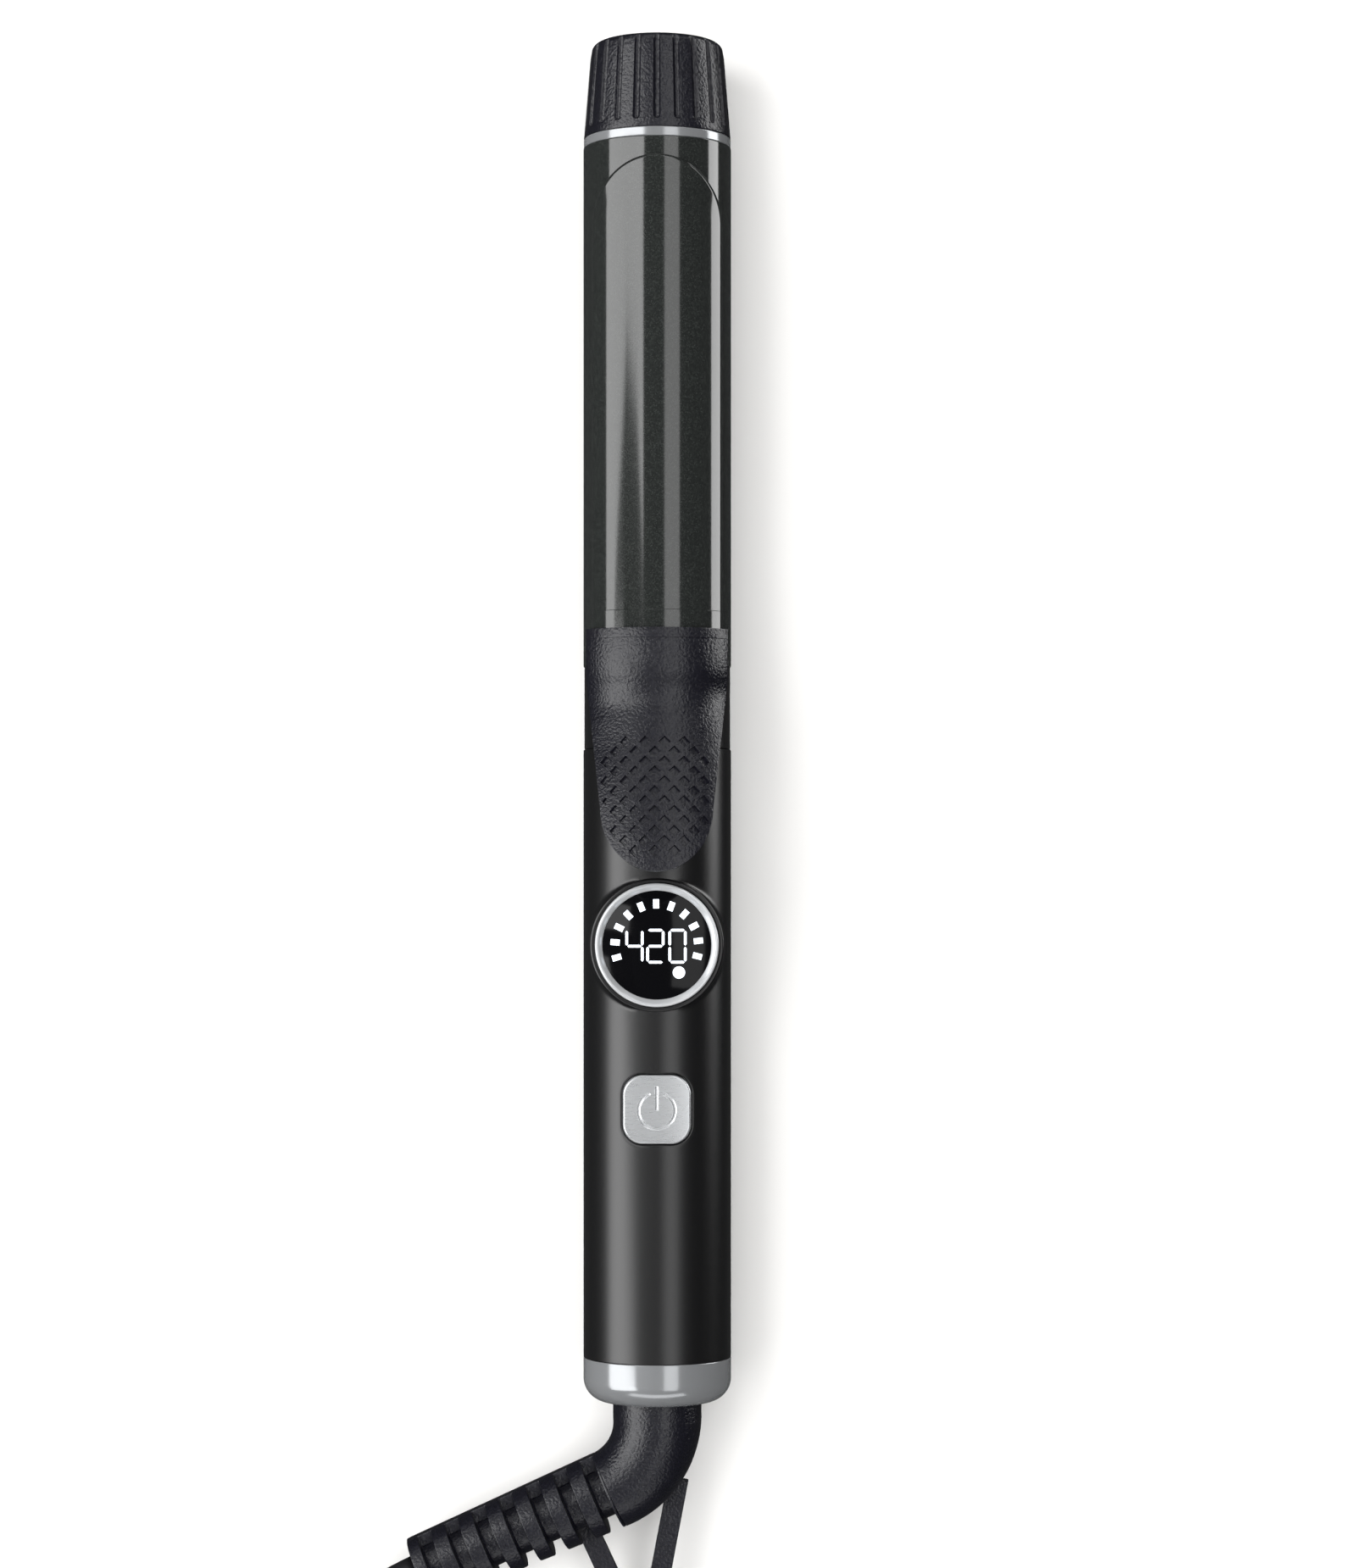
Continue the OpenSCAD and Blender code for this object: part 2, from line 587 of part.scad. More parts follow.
// Hank: folded turns with two wide ends, tied at its narrow middle
neck_angle = 20;
hank_outline = [for (s = [1, -1]) each concat([[s * hank_neck / 2, -s * 8], [s * hank_neck / 2, s * 8]],
    [for (a = [-neck_angle:10:180 + neck_angle])
        [s * hank_end_r * cos(a), s * (hank_run / 2 + hank_end_r * sin(a))]])];
module cord_hank() color("#1a1a1c") difference() {
    translate([hank_x, hank_y, 0]) linear_extrude(hank_h) polygon(hank_outline);
    block([-far, hank_y - tie_w / 2 - 1, -1], [far, hank_y + tie_w / 2 + 1, tie_t + 0.1]);
}
module cord_tie() color("#101011") translate([hank_x, hank_y, 0]) difference() {
    w = hank_neck + 2 * tie_t + 4;
    block([-w / 2, -tie_w / 2, 0], [w / 2, tie_w / 2, hank_h + 2.2 * tie_t]);
    block([tie_t - w / 2, -far, tie_t], [w / 2 - tie_t, far, hank_h + 1.2 * tie_t]);
}
module plug_body() color("#1a1a1c") translate(plug_at) {
    translate([0, 0, -plug_h / 2]) {
        translate([0, 10, 0]) linear_extrude(plug_h) translate([0, (plug_l - 10) / 2])
            round_rect(plug_w, plug_l - 10, 5);
    }
    rotate([-90, 0, 0]) cylinder(h = 12, r1 = 5.2, r2 = 7.5);
}
module plug_blades() color("#d6c27a") for (s = [-1, 1]) {
    h = s < 0 ? 7.9 : 6.3;
    difference() {
        translate(plug_at + [s * blade_gap / 2 - 0.75, plug_l, -h / 2]) cube([1.5, blade_l, h]);
        translate(plug_at + [s * blade_gap / 2, plug_l + blade_l - 4, 0]) rotate([0, 90, 0])
            cylinder(h = 4, r = 1.5, center = true);
    }
}

cool_tip();
tip_plug();
tip_screw();
tip_ring();
barrel();
heater_shell_upper();
heater_shell_lower();
ceramic_heater();
temperature_sensor();
thermal_fuse();
barrel_insulator();
heater_leads();
collar();
hinge_pin();
torsion_spring();
clamp_plate();
clamp_bracket();
clamp_rivets();
clamp_lever();
lever_screw();
handle_front();
handle_rear();
handle_screws();
display_bezel();
display_lens();
display_segments();
display_module();
control_board();
board_screws();
triac();
capacitor();
controller_chip();
tactile_switch();
switch_plunger();
power_button();
end_cap();
swivel_socket();
swivel_contacts();
swivel_spindle();
slip_rings();
retaining_clip();
cord_elbow();
strain_relief();
hanging_loop();
power_cord();
cord_hank();
cord_tail();
cord_tie();
plug_body();
plug_blades();
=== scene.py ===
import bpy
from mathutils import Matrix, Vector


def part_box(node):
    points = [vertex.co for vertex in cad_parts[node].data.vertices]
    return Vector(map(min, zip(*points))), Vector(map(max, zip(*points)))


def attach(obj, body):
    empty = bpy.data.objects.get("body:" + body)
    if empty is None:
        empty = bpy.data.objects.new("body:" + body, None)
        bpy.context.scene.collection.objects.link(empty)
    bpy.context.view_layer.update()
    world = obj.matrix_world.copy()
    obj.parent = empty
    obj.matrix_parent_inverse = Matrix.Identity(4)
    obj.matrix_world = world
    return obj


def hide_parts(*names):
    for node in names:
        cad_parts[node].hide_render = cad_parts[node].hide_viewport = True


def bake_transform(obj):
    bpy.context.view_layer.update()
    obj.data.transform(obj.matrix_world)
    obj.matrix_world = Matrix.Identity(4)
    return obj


bl_info = {
    "name": "Curling Wand",
    "version": (1, 0, 0),
    "blender": (4, 5, 0),
    "location": "View3D > Sidebar > Curling Wand",
    "description": "Builds the visible pieces of a curling wand round its packed frame",
    "category": "Object",
}

from math import asin, atan2, ceil, cos, degrees, hypot, pi, radians, sin, sqrt

import bpy
from bpy.props import FloatProperty, FloatVectorProperty, IntProperty, PointerProperty
from bpy.types import Operator, Panel, PropertyGroup
from mathutils import Matrix, Vector

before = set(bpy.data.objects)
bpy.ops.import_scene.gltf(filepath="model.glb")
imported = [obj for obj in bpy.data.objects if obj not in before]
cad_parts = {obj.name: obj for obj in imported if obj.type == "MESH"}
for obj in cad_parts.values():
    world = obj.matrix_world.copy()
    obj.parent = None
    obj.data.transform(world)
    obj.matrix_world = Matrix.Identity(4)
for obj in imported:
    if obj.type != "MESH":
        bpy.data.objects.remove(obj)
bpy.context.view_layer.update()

MM = 0.001
# In mm: height of the wand's axis, and the places along it of display, button and handle screws
AXIS_Z, DISPLAY_Y, BUTTON_Y, SCREWS_Y = 16.0, -48, -83, (-112, -66, -24)
# Turned pieces are made upright on the origin and then laid along the wand
ALONG_WAND = Matrix.Translation((0, 0, AXIS_Z * MM)) @ Matrix.Rotation(-pi / 2, 4, "X")


def srgb(code):
    """Linear colour of an sRGB hex value."""
    parts = [int(code[k : k + 2], 16) / 255 for k in (1, 3, 5)]
    return tuple(c / 12.92 if c <= 0.04045 else ((c + 0.055) / 1.055) ** 2.4 for c in parts)


# Sizes and colours that a user would change


class WandSizes(PropertyGroup):
    body_radius: FloatProperty(
        name="Body radius", description="Outer radius of barrel and handle in mm", default=16.0, min=15, max=17
    )
    grooves: IntProperty(name="Grooves", description="Grooves round the cool tip", default=22, min=8, max=30)
    groove_radius: FloatProperty(
        name="Groove radius", description="Radius of one groove in mm", default=0.7, min=0.3, max=1
    )
    plate_half_width: FloatProperty(
        name="Plate half width", description="Half width of the clamp plate in mm", default=14.1, min=12, max=14.5
    )
    diamond: FloatProperty(
        name="Diamond", description="Diagonal of a grip diamond on the lever in mm", default=2.6, min=1.5, max=3
    )
    cord_length: FloatProperty(
        name="Cord length", description="Length of the mains cord", default=1.8, unit="LENGTH"
    )
    cord_diameter: FloatProperty(
        name="Cord diameter", description="Diameter of the mains cord", default=0.008, unit="LENGTH"
    )


class WandColours(PropertyGroup):
    barrel: FloatVectorProperty(
        name="Barrel", description="Ceramic coat of barrel and plate", subtype="COLOR", default=srgb("#1d1f1e")
    )
    handle: FloatVectorProperty(
        name="Handle", description="Satin ABS of the handle", subtype="COLOR", default=srgb("#060607")
    )
    grained: FloatVectorProperty(
        name="Grained parts", description="Grained nylon of lever, tip and elbow", subtype="COLOR",
        default=srgb("#0b0b13"),
    )
    trim: FloatVectorProperty(
        name="Trim", description="Chromed trim and end cap", subtype="COLOR", default=srgb("#9a9c9e")
    )
    light: FloatVectorProperty(
        name="Display light", description="Lit windows of the display", subtype="COLOR", default=srgb("#eef4ff")
    )


class WandStage(PropertyGroup):
    key: FloatProperty(name="Key light", description="Power of the broad light on the left in W", default=129.0)
    strip: FloatProperty(name="Strip light", description="Power of the narrow light overhead in W", default=29.0)
    rim: FloatProperty(name="Rim light", description="Power of the low light on the right in W", default=52.0)
    fill: FloatProperty(
        name="Fill light", description="Power in W of the light overhead that isn't mirrored", default=62.0
    )
    foot: FloatProperty(name="End lights", description="Power of each low light beyond an end in W", default=17.0)
    room: FloatProperty(name="Room", description="Brightness of the room about the lights", default=0.05)
    floor: FloatVectorProperty(
        name="Floor", description="Colour of the floor", subtype="COLOR", default=srgb("#f1f0ee")
    )


# Mesh helpers


def deselect():
    if bpy.context.object and bpy.context.object.mode != "OBJECT":
        bpy.ops.object.mode_set(mode="OBJECT")
    bpy.ops.object.select_all(action="DESELECT")


def pick(obj):
    deselect()
    obj.select_set(True)
    bpy.context.view_layer.objects.active = obj


def settle(obj, place=None):
    """Puts the piece's place into its mesh, so that its object stays at the origin."""
    pick(obj)
    if place is not None:
        obj.matrix_world = place @ obj.matrix_world
    bpy.ops.object.transform_apply(location=True, rotation=True, scale=True)
    return obj


def mend(obj, operator, **settings):
    """Runs a mesh operator on the whole piece, then turns all its faces outwards."""
    pick(obj)
    bpy.ops.object.mode_set(mode="EDIT")
    bpy.ops.mesh.select_all(action="SELECT")
    operator(**settings)
    bpy.ops.mesh.normals_make_consistent(inside=False)
    bpy.ops.object.mode_set(mode="OBJECT")
    return obj


def tidy(obj, gap=1e-6):
    """Merges points that lie closer together than a gap in m."""
    return mend(obj, bpy.ops.mesh.remove_doubles, threshold=gap)


def close_holes(obj):
    """Fills the open ends of a piece."""
    return mend(obj, bpy.ops.mesh.fill_holes, sides=0)


def smooth(obj, angle=32):
    """Shades smooth over edges flatter than an angle in degrees."""
    pick(obj)
    bpy.ops.object.shade_smooth_by_angle(angle=radians(angle))
    return modify(obj, "WEIGHTED_NORMAL", keep_sharp=True)


def modify(obj, kind, **settings):
    """Adds a modifier, sets it and applies it."""
    pick(obj)
    modifier = obj.modifiers.new(kind.title(), kind)
    for key, value in settings.items():
        setattr(modifier, key, value)
    bpy.ops.object.modifier_apply(modifier=modifier.name)
    return obj


def bevel(obj, width, segments=3, angle=40):
    """Rounds, by a width in mm, the edges sharper than an angle in degrees."""
    return modify(obj, "BEVEL", width=width * MM, segments=segments, limit_method="ANGLE",
                  angle_limit=radians(angle), miter_outer="MITER_ARC", use_clamp_overlap=True)


def combine(obj, other, operation="DIFFERENCE"):
    """Cuts, adds or intersects with another piece, which is used up."""
    modify(obj, "BOOLEAN", object=other, operation=operation, solver="EXACT")
    bpy.data.objects.remove(other)
    return obj


def join(objs, name):
    """Makes one piece of several."""
    deselect()
    for obj in objs:
        obj.select_set(True)
    bpy.context.view_layer.objects.active = objs[0]
    bpy.ops.object.join()
    objs[0].name = name
    return objs[0]


def shifted(x=0.0, y=0.0, z=0.0):
    """A move in mm."""
    return Matrix.Translation((x * MM, y * MM, z * MM))


def nearest(share, count):
    """Which of count steps lies at a share, from 0 to 1, of the way."""
    return int(round(share * count))


def turned(name, rows, sides=128, place=ALONG_WAND):
    """A profile turned round: a circle extruded and scaled from row to row. A row is (height, radius) in mm."""
    deselect()
    bpy.ops.mesh.primitive_circle_add(vertices=sides, radius=MM, location=(0, 0, 0))
    obj = bpy.context.object
    obj.name = name
    bpy.ops.object.mode_set(mode="EDIT")
    bpy.ops.mesh.select_all(action="SELECT")
    height, radius = 0.0, 1.0
    for k, (h, r) in enumerate(rows):
        r = max(r, 1e-4)
        step = (0, 0, (h - height) * MM)
        if k:
            bpy.ops.mesh.extrude_region_move(TRANSFORM_OT_translate={"value": step})
        else:
            bpy.ops.transform.translate(value=step)
        bpy.ops.transform.resize(value=(r / radius, r / radius, 1), center_override=(0, 0, h * MM))
        height, radius = h, r
    bpy.ops.object.mode_set(mode="OBJECT")
    settle(obj, place)
    return tidy(obj)


def shaped_grid(name, columns, rows, place):
    """A grid whose every corner is moved to place(u, v), in mm, with u and v from 0 to 1."""
    deselect()
    bpy.ops.mesh.primitive_grid_add(x_subdivisions=columns, y_subdivisions=rows, size=1, location=(0, 0, 0))
    obj = bpy.context.object
    obj.name = name
    for vertex in obj.data.vertices:
        x, y, z = place(vertex.co.x + 0.5, vertex.co.y + 0.5)
        vertex.co = (x * MM, y * MM, z * MM)
    return tidy(obj)


def box(name, low, high):
    """A block between two corners in mm, as a start for shaping."""
    deselect()
    size = [(b - a) * MM for a, b in zip(low, high)]
    centre = [(a + b) / 2 * MM for a, b in zip(low, high)]
    bpy.ops.mesh.primitive_cube_add(size=1, location=centre, scale=size)
    obj = bpy.context.object
    obj.name = name
    return settle(obj)


def tube(name, points, radii, resolution=8):
    """A round bar along points in mm: a curve with a round bevel, made a mesh."""
    deselect()
    curve = bpy.data.curves.new(name, "CURVE")
    curve.dimensions = "3D"
    curve.bevel_depth = MM
    curve.bevel_resolution = resolution
    curve.use_fill_caps = True
    spline = curve.splines.new("POLY")
    spline.points.add(len(points) - 1)
    for point, p, r in zip(spline.points, points, radii):
        point.co = (p[0] * MM, p[1] * MM, p[2] * MM, 1)
        point.radius = r
    obj = bpy.data.objects.new(name, curve)
    bpy.context.collection.objects.link(obj)
    pick(obj)
    bpy.ops.object.convert(target="MESH")
    return tidy(bpy.context.object, 1e-7)


def glide(rows, t):
    """Value at t of a smooth line through rows of (t, value, ...)."""
    rows = sorted(rows)
    k = 0
    while k < len(rows) - 2 and t > rows[k + 1][0]:
        k += 1
    a, b = rows[k], rows[k + 1]
    before, after = rows[max(k - 1, 0)], rows[min(k + 2, len(rows) - 1)]
    span = b[0] - a[0]
    f = min(1.0, max(0.0, (t - a[0]) / span))
    found = []
    for c in range(1, len(a)):
        slope_a = (b[c] - before[c]) / (b[0] - before[0]) * span
        slope_b = (after[c] - a[c]) / (after[0] - a[0]) * span
        found.append(
            (2 * f**3 - 3 * f**2 + 1) * a[c]
            + (f**3 - 2 * f**2 + f) * slope_a
            + (3 * f**2 - 2 * f**3) * b[c]
            + (f**3 - f**2) * slope_b
        )
    return found


def corner(h, r, size, start, end, steps=4):
    """Points of a quarter round about (h, r) from one angle to another, in degrees, 0 towards larger radius."""
    angles = [radians(start + (end - start) * k / steps) for k in range(steps + 1)]
    return [(h + size * sin(a), r + size * cos(a)) for a in angles]


def rounded_outline(width, length, radius, per_side=8):
    """Points round a rectangle with round corners, centred, in mm, with points along its sides too."""
    points = []
    for quarter in range(4):
        a = radians(90 * quarter)
        cx, cy = (width, length) if quarter % 2 == 0 else (length, width)
        cx, cy = cx / 2 - radius, cy / 2 - radius
        bends = [radians(90 * k / per_side) for k in range(per_side)]
        local = [(cx + radius, -cy + 2 * cy * k / per_side) for k in range(per_side)]
        local += [(cx + radius * cos(bend), cy + radius * sin(bend)) for bend in bends]
        points += [(x * cos(a) - y * sin(a), x * sin(a) + y * cos(a)) for x, y in local]
    return points


# Materials


def add_node(tree, kind, settings=None, **inputs):
    """Adds a node, sets it, and gives each input a value or the socket that feeds it."""
    node = tree.nodes.new(kind)
    for key, value in (settings or {}).items():
        setattr(node, key, value)
    for key, value in inputs.items():
        numbered = key[0] == "i" and key[1:].isdigit()
        socket = node.inputs[int(key[1:]) if numbered else key.replace("_", " ")]
        if isinstance(value, bpy.types.NodeSocket):
            tree.links.new(value, socket)
        else:
            socket.default_value = value
    return node


def new_material(name, colour, roughness, metallic=0.0, **sockets):
    """A material with its node tree and its shader."""
    material = bpy.data.materials.new(name)
    material.use_nodes = True
    shader = material.node_tree.nodes["Principled BSDF"]
    shader.inputs["Base Color"].default_value = (*colour[:3], 1)
    shader.inputs["Roughness"].default_value = roughness
    shader.inputs["Metallic"].default_value = metallic
    for key, value in sockets.items():
        shader.inputs[key.replace("_", " ")].default_value = value
    return material, material.node_tree, shader


def object_place(tree, scale=(1, 1, 1)):
    """Object coordinates, stretched by scale."""
    place = add_node(tree, "ShaderNodeTexCoord")
    return add_node(tree, "ShaderNodeMapping", Vector=place.outputs["Object"], Scale=scale).outputs["Vector"]


def grain_bump(tree, shader, grain_mm, depth_mm, scale=(1, 1, 1)):
    """Bump from noise whose grains are grain_mm wide. Returns the noise's value."""
    noise = add_node(tree, "ShaderNodeTexNoise", Vector=object_place(tree, scale), Scale=1 / (grain_mm * MM))
    bump = add_node(tree, "ShaderNodeBump", Height=noise.outputs["Fac"], Distance=depth_mm * MM)
    tree.links.new(bump.outputs["Normal"], shader.inputs["Normal"])
    return noise.outputs["Fac"]


def spread_roughness(tree, shader, value, low, high):
    """Roughness that goes from low to high with a value."""
    spread = add_node(tree, "ShaderNodeMapRange", Value=value, To_Min=low, To_Max=high)
    tree.links.new(spread.outputs["Result"], shader.inputs["Roughness"])


def mixed_colour(tree, shader, value, low, high, socket="Base Color"):
    """Colour that goes from low to high with a value."""
    mix = add_node(tree, "ShaderNodeMix", {"data_type": "RGBA"}, i0=value, i6=(*low[:3], 1), i7=(*high[:3], 1))
    tree.links.new(mix.outputs[2], shader.inputs[socket])


def grained(name, colour, roughness, grain_mm, depth_mm, spread=None, tones=None, scale=(1, 1, 1), **settings):
    """A finish ruled by one noise: its bump, and with it a spread of roughness, of colour or of both."""
    material, tree, shader = new_material(name, colour, roughness, **settings)
    noise = grain_bump(tree, shader, grain_mm, depth_mm, scale)
    if spread:
        spread_roughness(tree, shader, noise, *spread)
    if tones:
        mixed_colour(tree, shader, noise, *tones)
    return material


def ceramic_coat(colour):
    """Sprayed ceramic enamel, charcoal: so glossy that the lights stand on it as long bands, with mica flakes."""
    material, tree, shader = new_material("Charcoal ceramic enamel", colour, 0.1, IOR=1.72)
    # Flakes are 0.1 mm in the coat and drawn 0.22 mm wide so that they show
    flakes = add_node(tree, "ShaderNodeTexVoronoi", Vector=object_place(tree), Scale=1 / (0.22 * MM))
    parted = add_node(tree, "ShaderNodeSeparateColor", Color=flakes.outputs["Color"])
    bright = add_node(tree, "ShaderNodeMapRange", Value=parted.outputs["Red"], From_Min=0.5, From_Max=1.0)
    mixed_colour(tree, shader, bright.outputs["Result"], colour, srgb("#2d302e"))
    spread_roughness(tree, shader, grain_bump(tree, shader, 0.35, 0.0012), 0.07, 0.13)
    return material


def light_window(colour):
    """Light guide lit from behind: cold white, a little brighter and dimmer at random in patches about 1.2 mm
    across.
    """
    material, tree, shader = new_material("Lit light guide", srgb("#dfe6ee"), 0.4, Emission_Strength=1.15)
    noise = add_node(tree, "ShaderNodeTexNoise", Vector=object_place(tree), Scale=1 / (1.2 * MM))
    mixed_colour(tree, shader, noise.outputs["Fac"], [c * 0.88 for c in colour[:3]], colour, "Emission Color")
    return material


def solder_mask():
    """Epoxy glass board under green solder mask: copper tracks show through as lighter lines."""
    green = srgb("#1c5234")
    material, tree, shader = new_material("Green solder mask", green, 0.3, IOR=1.5)
    tracks = add_node(tree, "ShaderNodeTexBrick", {"offset": 0.37, "squash": 0.6, "squash_frequency": 3},
                      Vector=object_place(tree), Scale=1 / (9 * MM), Color1=(*green, 1),
                      Color2=(*srgb("#184a2f"), 1), Mortar=(*srgb("#3d8a57"), 1), Mortar_Size=0.03)
    tree.links.new(tracks.outputs["Color"], shader.inputs["Base Color"])
    return material


def braided_sleeving():
    """Silicone-varnished glass sleeving: brick red with a braid that crosses every millimetre."""
    material, tree, shader = new_material("Glass braid sleeving", srgb("#9c3226"), 0.55, IOR=1.45)
    braid = add_node(tree, "ShaderNodeTexWave", {"wave_type": "BANDS", "bands_direction": "DIAGONAL"},
                     Vector=object_place(tree), Scale=1 / (3.2 * MM), Distortion=0.4)
    mixed_colour(tree, shader, braid.outputs["Fac"], srgb("#7d241b"), srgb("#b8483a"))
    return material


def hook_strap():
    """Woven nylon strap: charcoal, its threads 0.8 mm apart, matt with a little sheen."""
    material, tree, shader = new_material("Woven nylon strap", srgb("#1a1a1c"), 0.8, Sheen_Weight=0.25)
    across, along = [add_node(tree, "ShaderNodeTexWave", {"bands_direction": way}, Vector=object_place(tree),
                              Scale=1 / (5 * MM)) for way in "YX"]
    weave = add_node(tree, "ShaderNodeMath", {"operation": "MULTIPLY"},
                     i0=across.outputs["Fac"], i1=along.outputs["Fac"]).outputs["Value"]
    bump = add_node(tree, "ShaderNodeBump", Height=weave, Distance=0.15 * MM)
    tree.links.new(bump.outputs["Normal"], shader.inputs["Normal"])
    mixed_colour(tree, shader, weave, srgb("#121213"), srgb("#2c2c30"))
    return material


MATERIALS = {}


def finish(obj, body, material, slot, *nodes):
    """Gives a piece its finish and lets it ride on a body in the place of CAD nodes."""
    obj.data.materials.clear()
    obj.data.materials.append(MATERIALS[material])
    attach(obj, body)
    if nodes:
        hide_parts(*nodes)
    return obj


def coat(nodes, material):
    """A better material on CAD nodes whose shape is right."""
    for node in nodes:
        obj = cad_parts[node]
        if not len(obj.material_slots):
            obj.data.materials.append(None)
        for slot in obj.material_slots:
            slot.material = MATERIALS[material]


# Operators


class WandOperator(Operator):
    bl_options = {"REGISTER", "UNDO"}


def area_light(name, place, turn, width, length, power):
    """A rectangular lamp that the camera doesn't see."""
    bpy.ops.object.light_add(type="AREA", location=place, rotation=turn)
    lamp = bpy.context.object
    lamp.name = name
    lamp.data.shape = "RECTANGLE"
    lamp.data.size, lamp.data.size_y, lamp.data.energy = width, length, power
    lamp.visible_camera = False
    return lamp


class WAND_OT_stage(WandOperator):
    """Floor, lights and camera"""

    bl_idname = "wand.stage"
    bl_label = "Stage"

    def execute(self, context):
        stage = context.scene.wand_stage
        scene = context.scene
        scene.view_settings.view_transform = "Standard"

        # The floor lies 0.1 mm under the wand
        deselect()
        bpy.ops.mesh.primitive_grid_add(x_subdivisions=8, y_subdivisions=8, size=8, location=(0, 0, -0.0001))
        floor = settle(context.object)
        floor.name = "floor"
        material, tree, shader = new_material("Pale matt paper", stage.floor, 0.7)
        noise = add_node(tree, "ShaderNodeTexNoise", Vector=object_place(tree), Scale=1 / (60 * MM))
        mixed_colour(tree, shader, noise.outputs["Fac"], [c * 0.985 for c in stage.floor], stage.floor)
        floor.data.materials.append(material)
        floor.visible_glossy = False

        world = bpy.data.worlds.new("Studio")
        scene.world = world
        world.use_nodes = True
        # The wand mirrors a dim room, and the camera sees a pale one
        tree = world.node_tree
        seen = add_node(tree, "ShaderNodeLightPath").outputs["Is Camera Ray"]
        strength = add_node(tree, "ShaderNodeMapRange", Value=seen, To_Min=stage.room, To_Max=0.97)
        back = tree.nodes["Background"]
        back.inputs["Color"].default_value = (0.97, 0.98, 1, 1)
        tree.links.new(strength.outputs["Result"], back.inputs["Strength"])

        # Lights: angle from straight up towards +X, distance, width across the wand, ends along it, power
        for name, angle, distance, width, start, end, power in (
            ("key", -50, 3.0, 3.46, -1.8, 1.6, stage.key),
            ("strip", 22, 3.0, 1.18, -1.8, 3.0, stage.strip),
            ("rim", 99, 3.0, 1.2, 0.05, 3.0, stage.rim),
            ("fill", 0, 2.6, 3.0, -1.5, 1.5, stage.fill),
        ):
            a = radians(angle)
            place = (distance * sin(a), (start + end) / 2, AXIS_Z * MM + distance * cos(a))
            lamp = area_light(name, place, (0, a, 0), width, end - start, power)
            lamp.visible_glossy = name != "fill"

        # Low lights beyond both ends of the wand, 3 m away
        for name, tilt in (("foot", 60), ("head", -64)):
            a = radians(tilt)
            area_light(name, (0, -3 * sin(a), 3 * cos(a)), (a, 0, 0), 4.0, 0.9, stage.foot)

        # A black flag before the key light: it parts the light's band on the plate with a dark wedge
        # and narrows it along the handle. Rows are (place along the wand in m, angles of both edges)
        flag_distance = 2900
        edges = [(-1.8, -34, -17), (-0.5, -34, -17), (-0.3, -48, -17), (0.19, -50, -17), (0.2, -64, -17),
                 (0.237, -66, -17), (0.431, -50, -30), (0.49, -45.5, -44.5)]

        def flag_place(u, v):
            y, left, right = edges[nearest(v, len(edges) - 1)]
            a = radians(left + (right - left) * u)
            return flag_distance * sin(a), y / MM, AXIS_Z + flag_distance * cos(a)

        flag = shaped_grid("flag", 16, len(edges) - 1, flag_place)
        flock = new_material("Black flock", (0.002, 0.002, 0.002), 1.0, Specular_IOR_Level=0.0)[0]
        flag.data.materials.append(flock)
        for kind in ("camera", "diffuse", "shadow", "transmission"):
            setattr(flag, "visible_" + kind, False)

        bpy.ops.object.camera_add(location=(0.0045, -0.0344, 0.83), rotation=(0, 0, 0))
        camera = context.object
        camera.data.lens = 86.1
        camera.data.sensor_width = 36
        camera.data.shift_y = 0.062
        scene.camera = camera
        return {"FINISHED"}


# Loose cord from the sleeve to the hank, and from the hank to the plug, in mm
CORD_ROUTE = [
    (-51.7, -184.4, 16), (-56.8, -187, 15.9), (-61.3, -190.4, 15.1), (-65.2, -194.5, 13.8), (-68.2, -199.3, 12),
    (-70.4, -204.5, 10.1), (-71.7, -210, 8.1), (-72, -215.6, 6.3), (-72, -221.3, 4.9), (-72, -227, 4.1),
    (-72, -232.7, 4), (-72, -238.3, 4), (-72, -244, 4),
]
TAIL_ROUTE = [
    (-5.6, -388, 11.8), (-4.6, -382, 11.5), (-3.2, -376, 10.9), (-1.5, -370, 10.2), (0.2, -364, 9.6),
    (1.6, -358, 9), (2.6, -352, 8.7), (3, -346, 8.5),
]
HANK_X, HANK_NEAR, HANK_FAR = -39, -244, -394


def hank_route():
    """Four folded turns, two on two, drawn in to the tie at the middle."""
    route = []

    def ease(t):
        return t * t * (3 - 2 * t)

    def run(side, radius, z, away):
        for k in range(1, 24):
            t = k / 24
            s = (1 - cos(2 * pi * t)) / 2
            y = HANK_NEAR + (HANK_FAR - HANK_NEAR) * (t if away else 1 - t)
            route.append((HANK_X + side * (radius - 21 * s), y, z + 1.3 * s**4))

    def fold(centre_y, start, radius, height):
        for k in range(13):
            t = k / 12
            a = radians(start + 180 * t)
            route.append((HANK_X + radius(t) * cos(a), centre_y + radius(t) * sin(a), height(t)))

    def turn(t):
        return pi / 2 * ease(t)

    for outer, z, radius, height in (
        (33, 4, lambda t: 25 + 8 * cos(turn(t)), lambda t: 4),
        (25, 4, lambda t: 25, lambda t: 4 + 8 * sin(turn(t))),
        (25, 12, lambda t: 25 + 8 * sin(turn(t**0.8)), lambda t: 12),
        (33, 12, None, None),
    ):
        run(-1, outer, z, True)
        fold(HANK_FAR, 180, lambda t: outer, lambda t: z)
        if radius:
            run(1, outer, z, False)
            fold(HANK_NEAR, 0, radius, height)
    return route


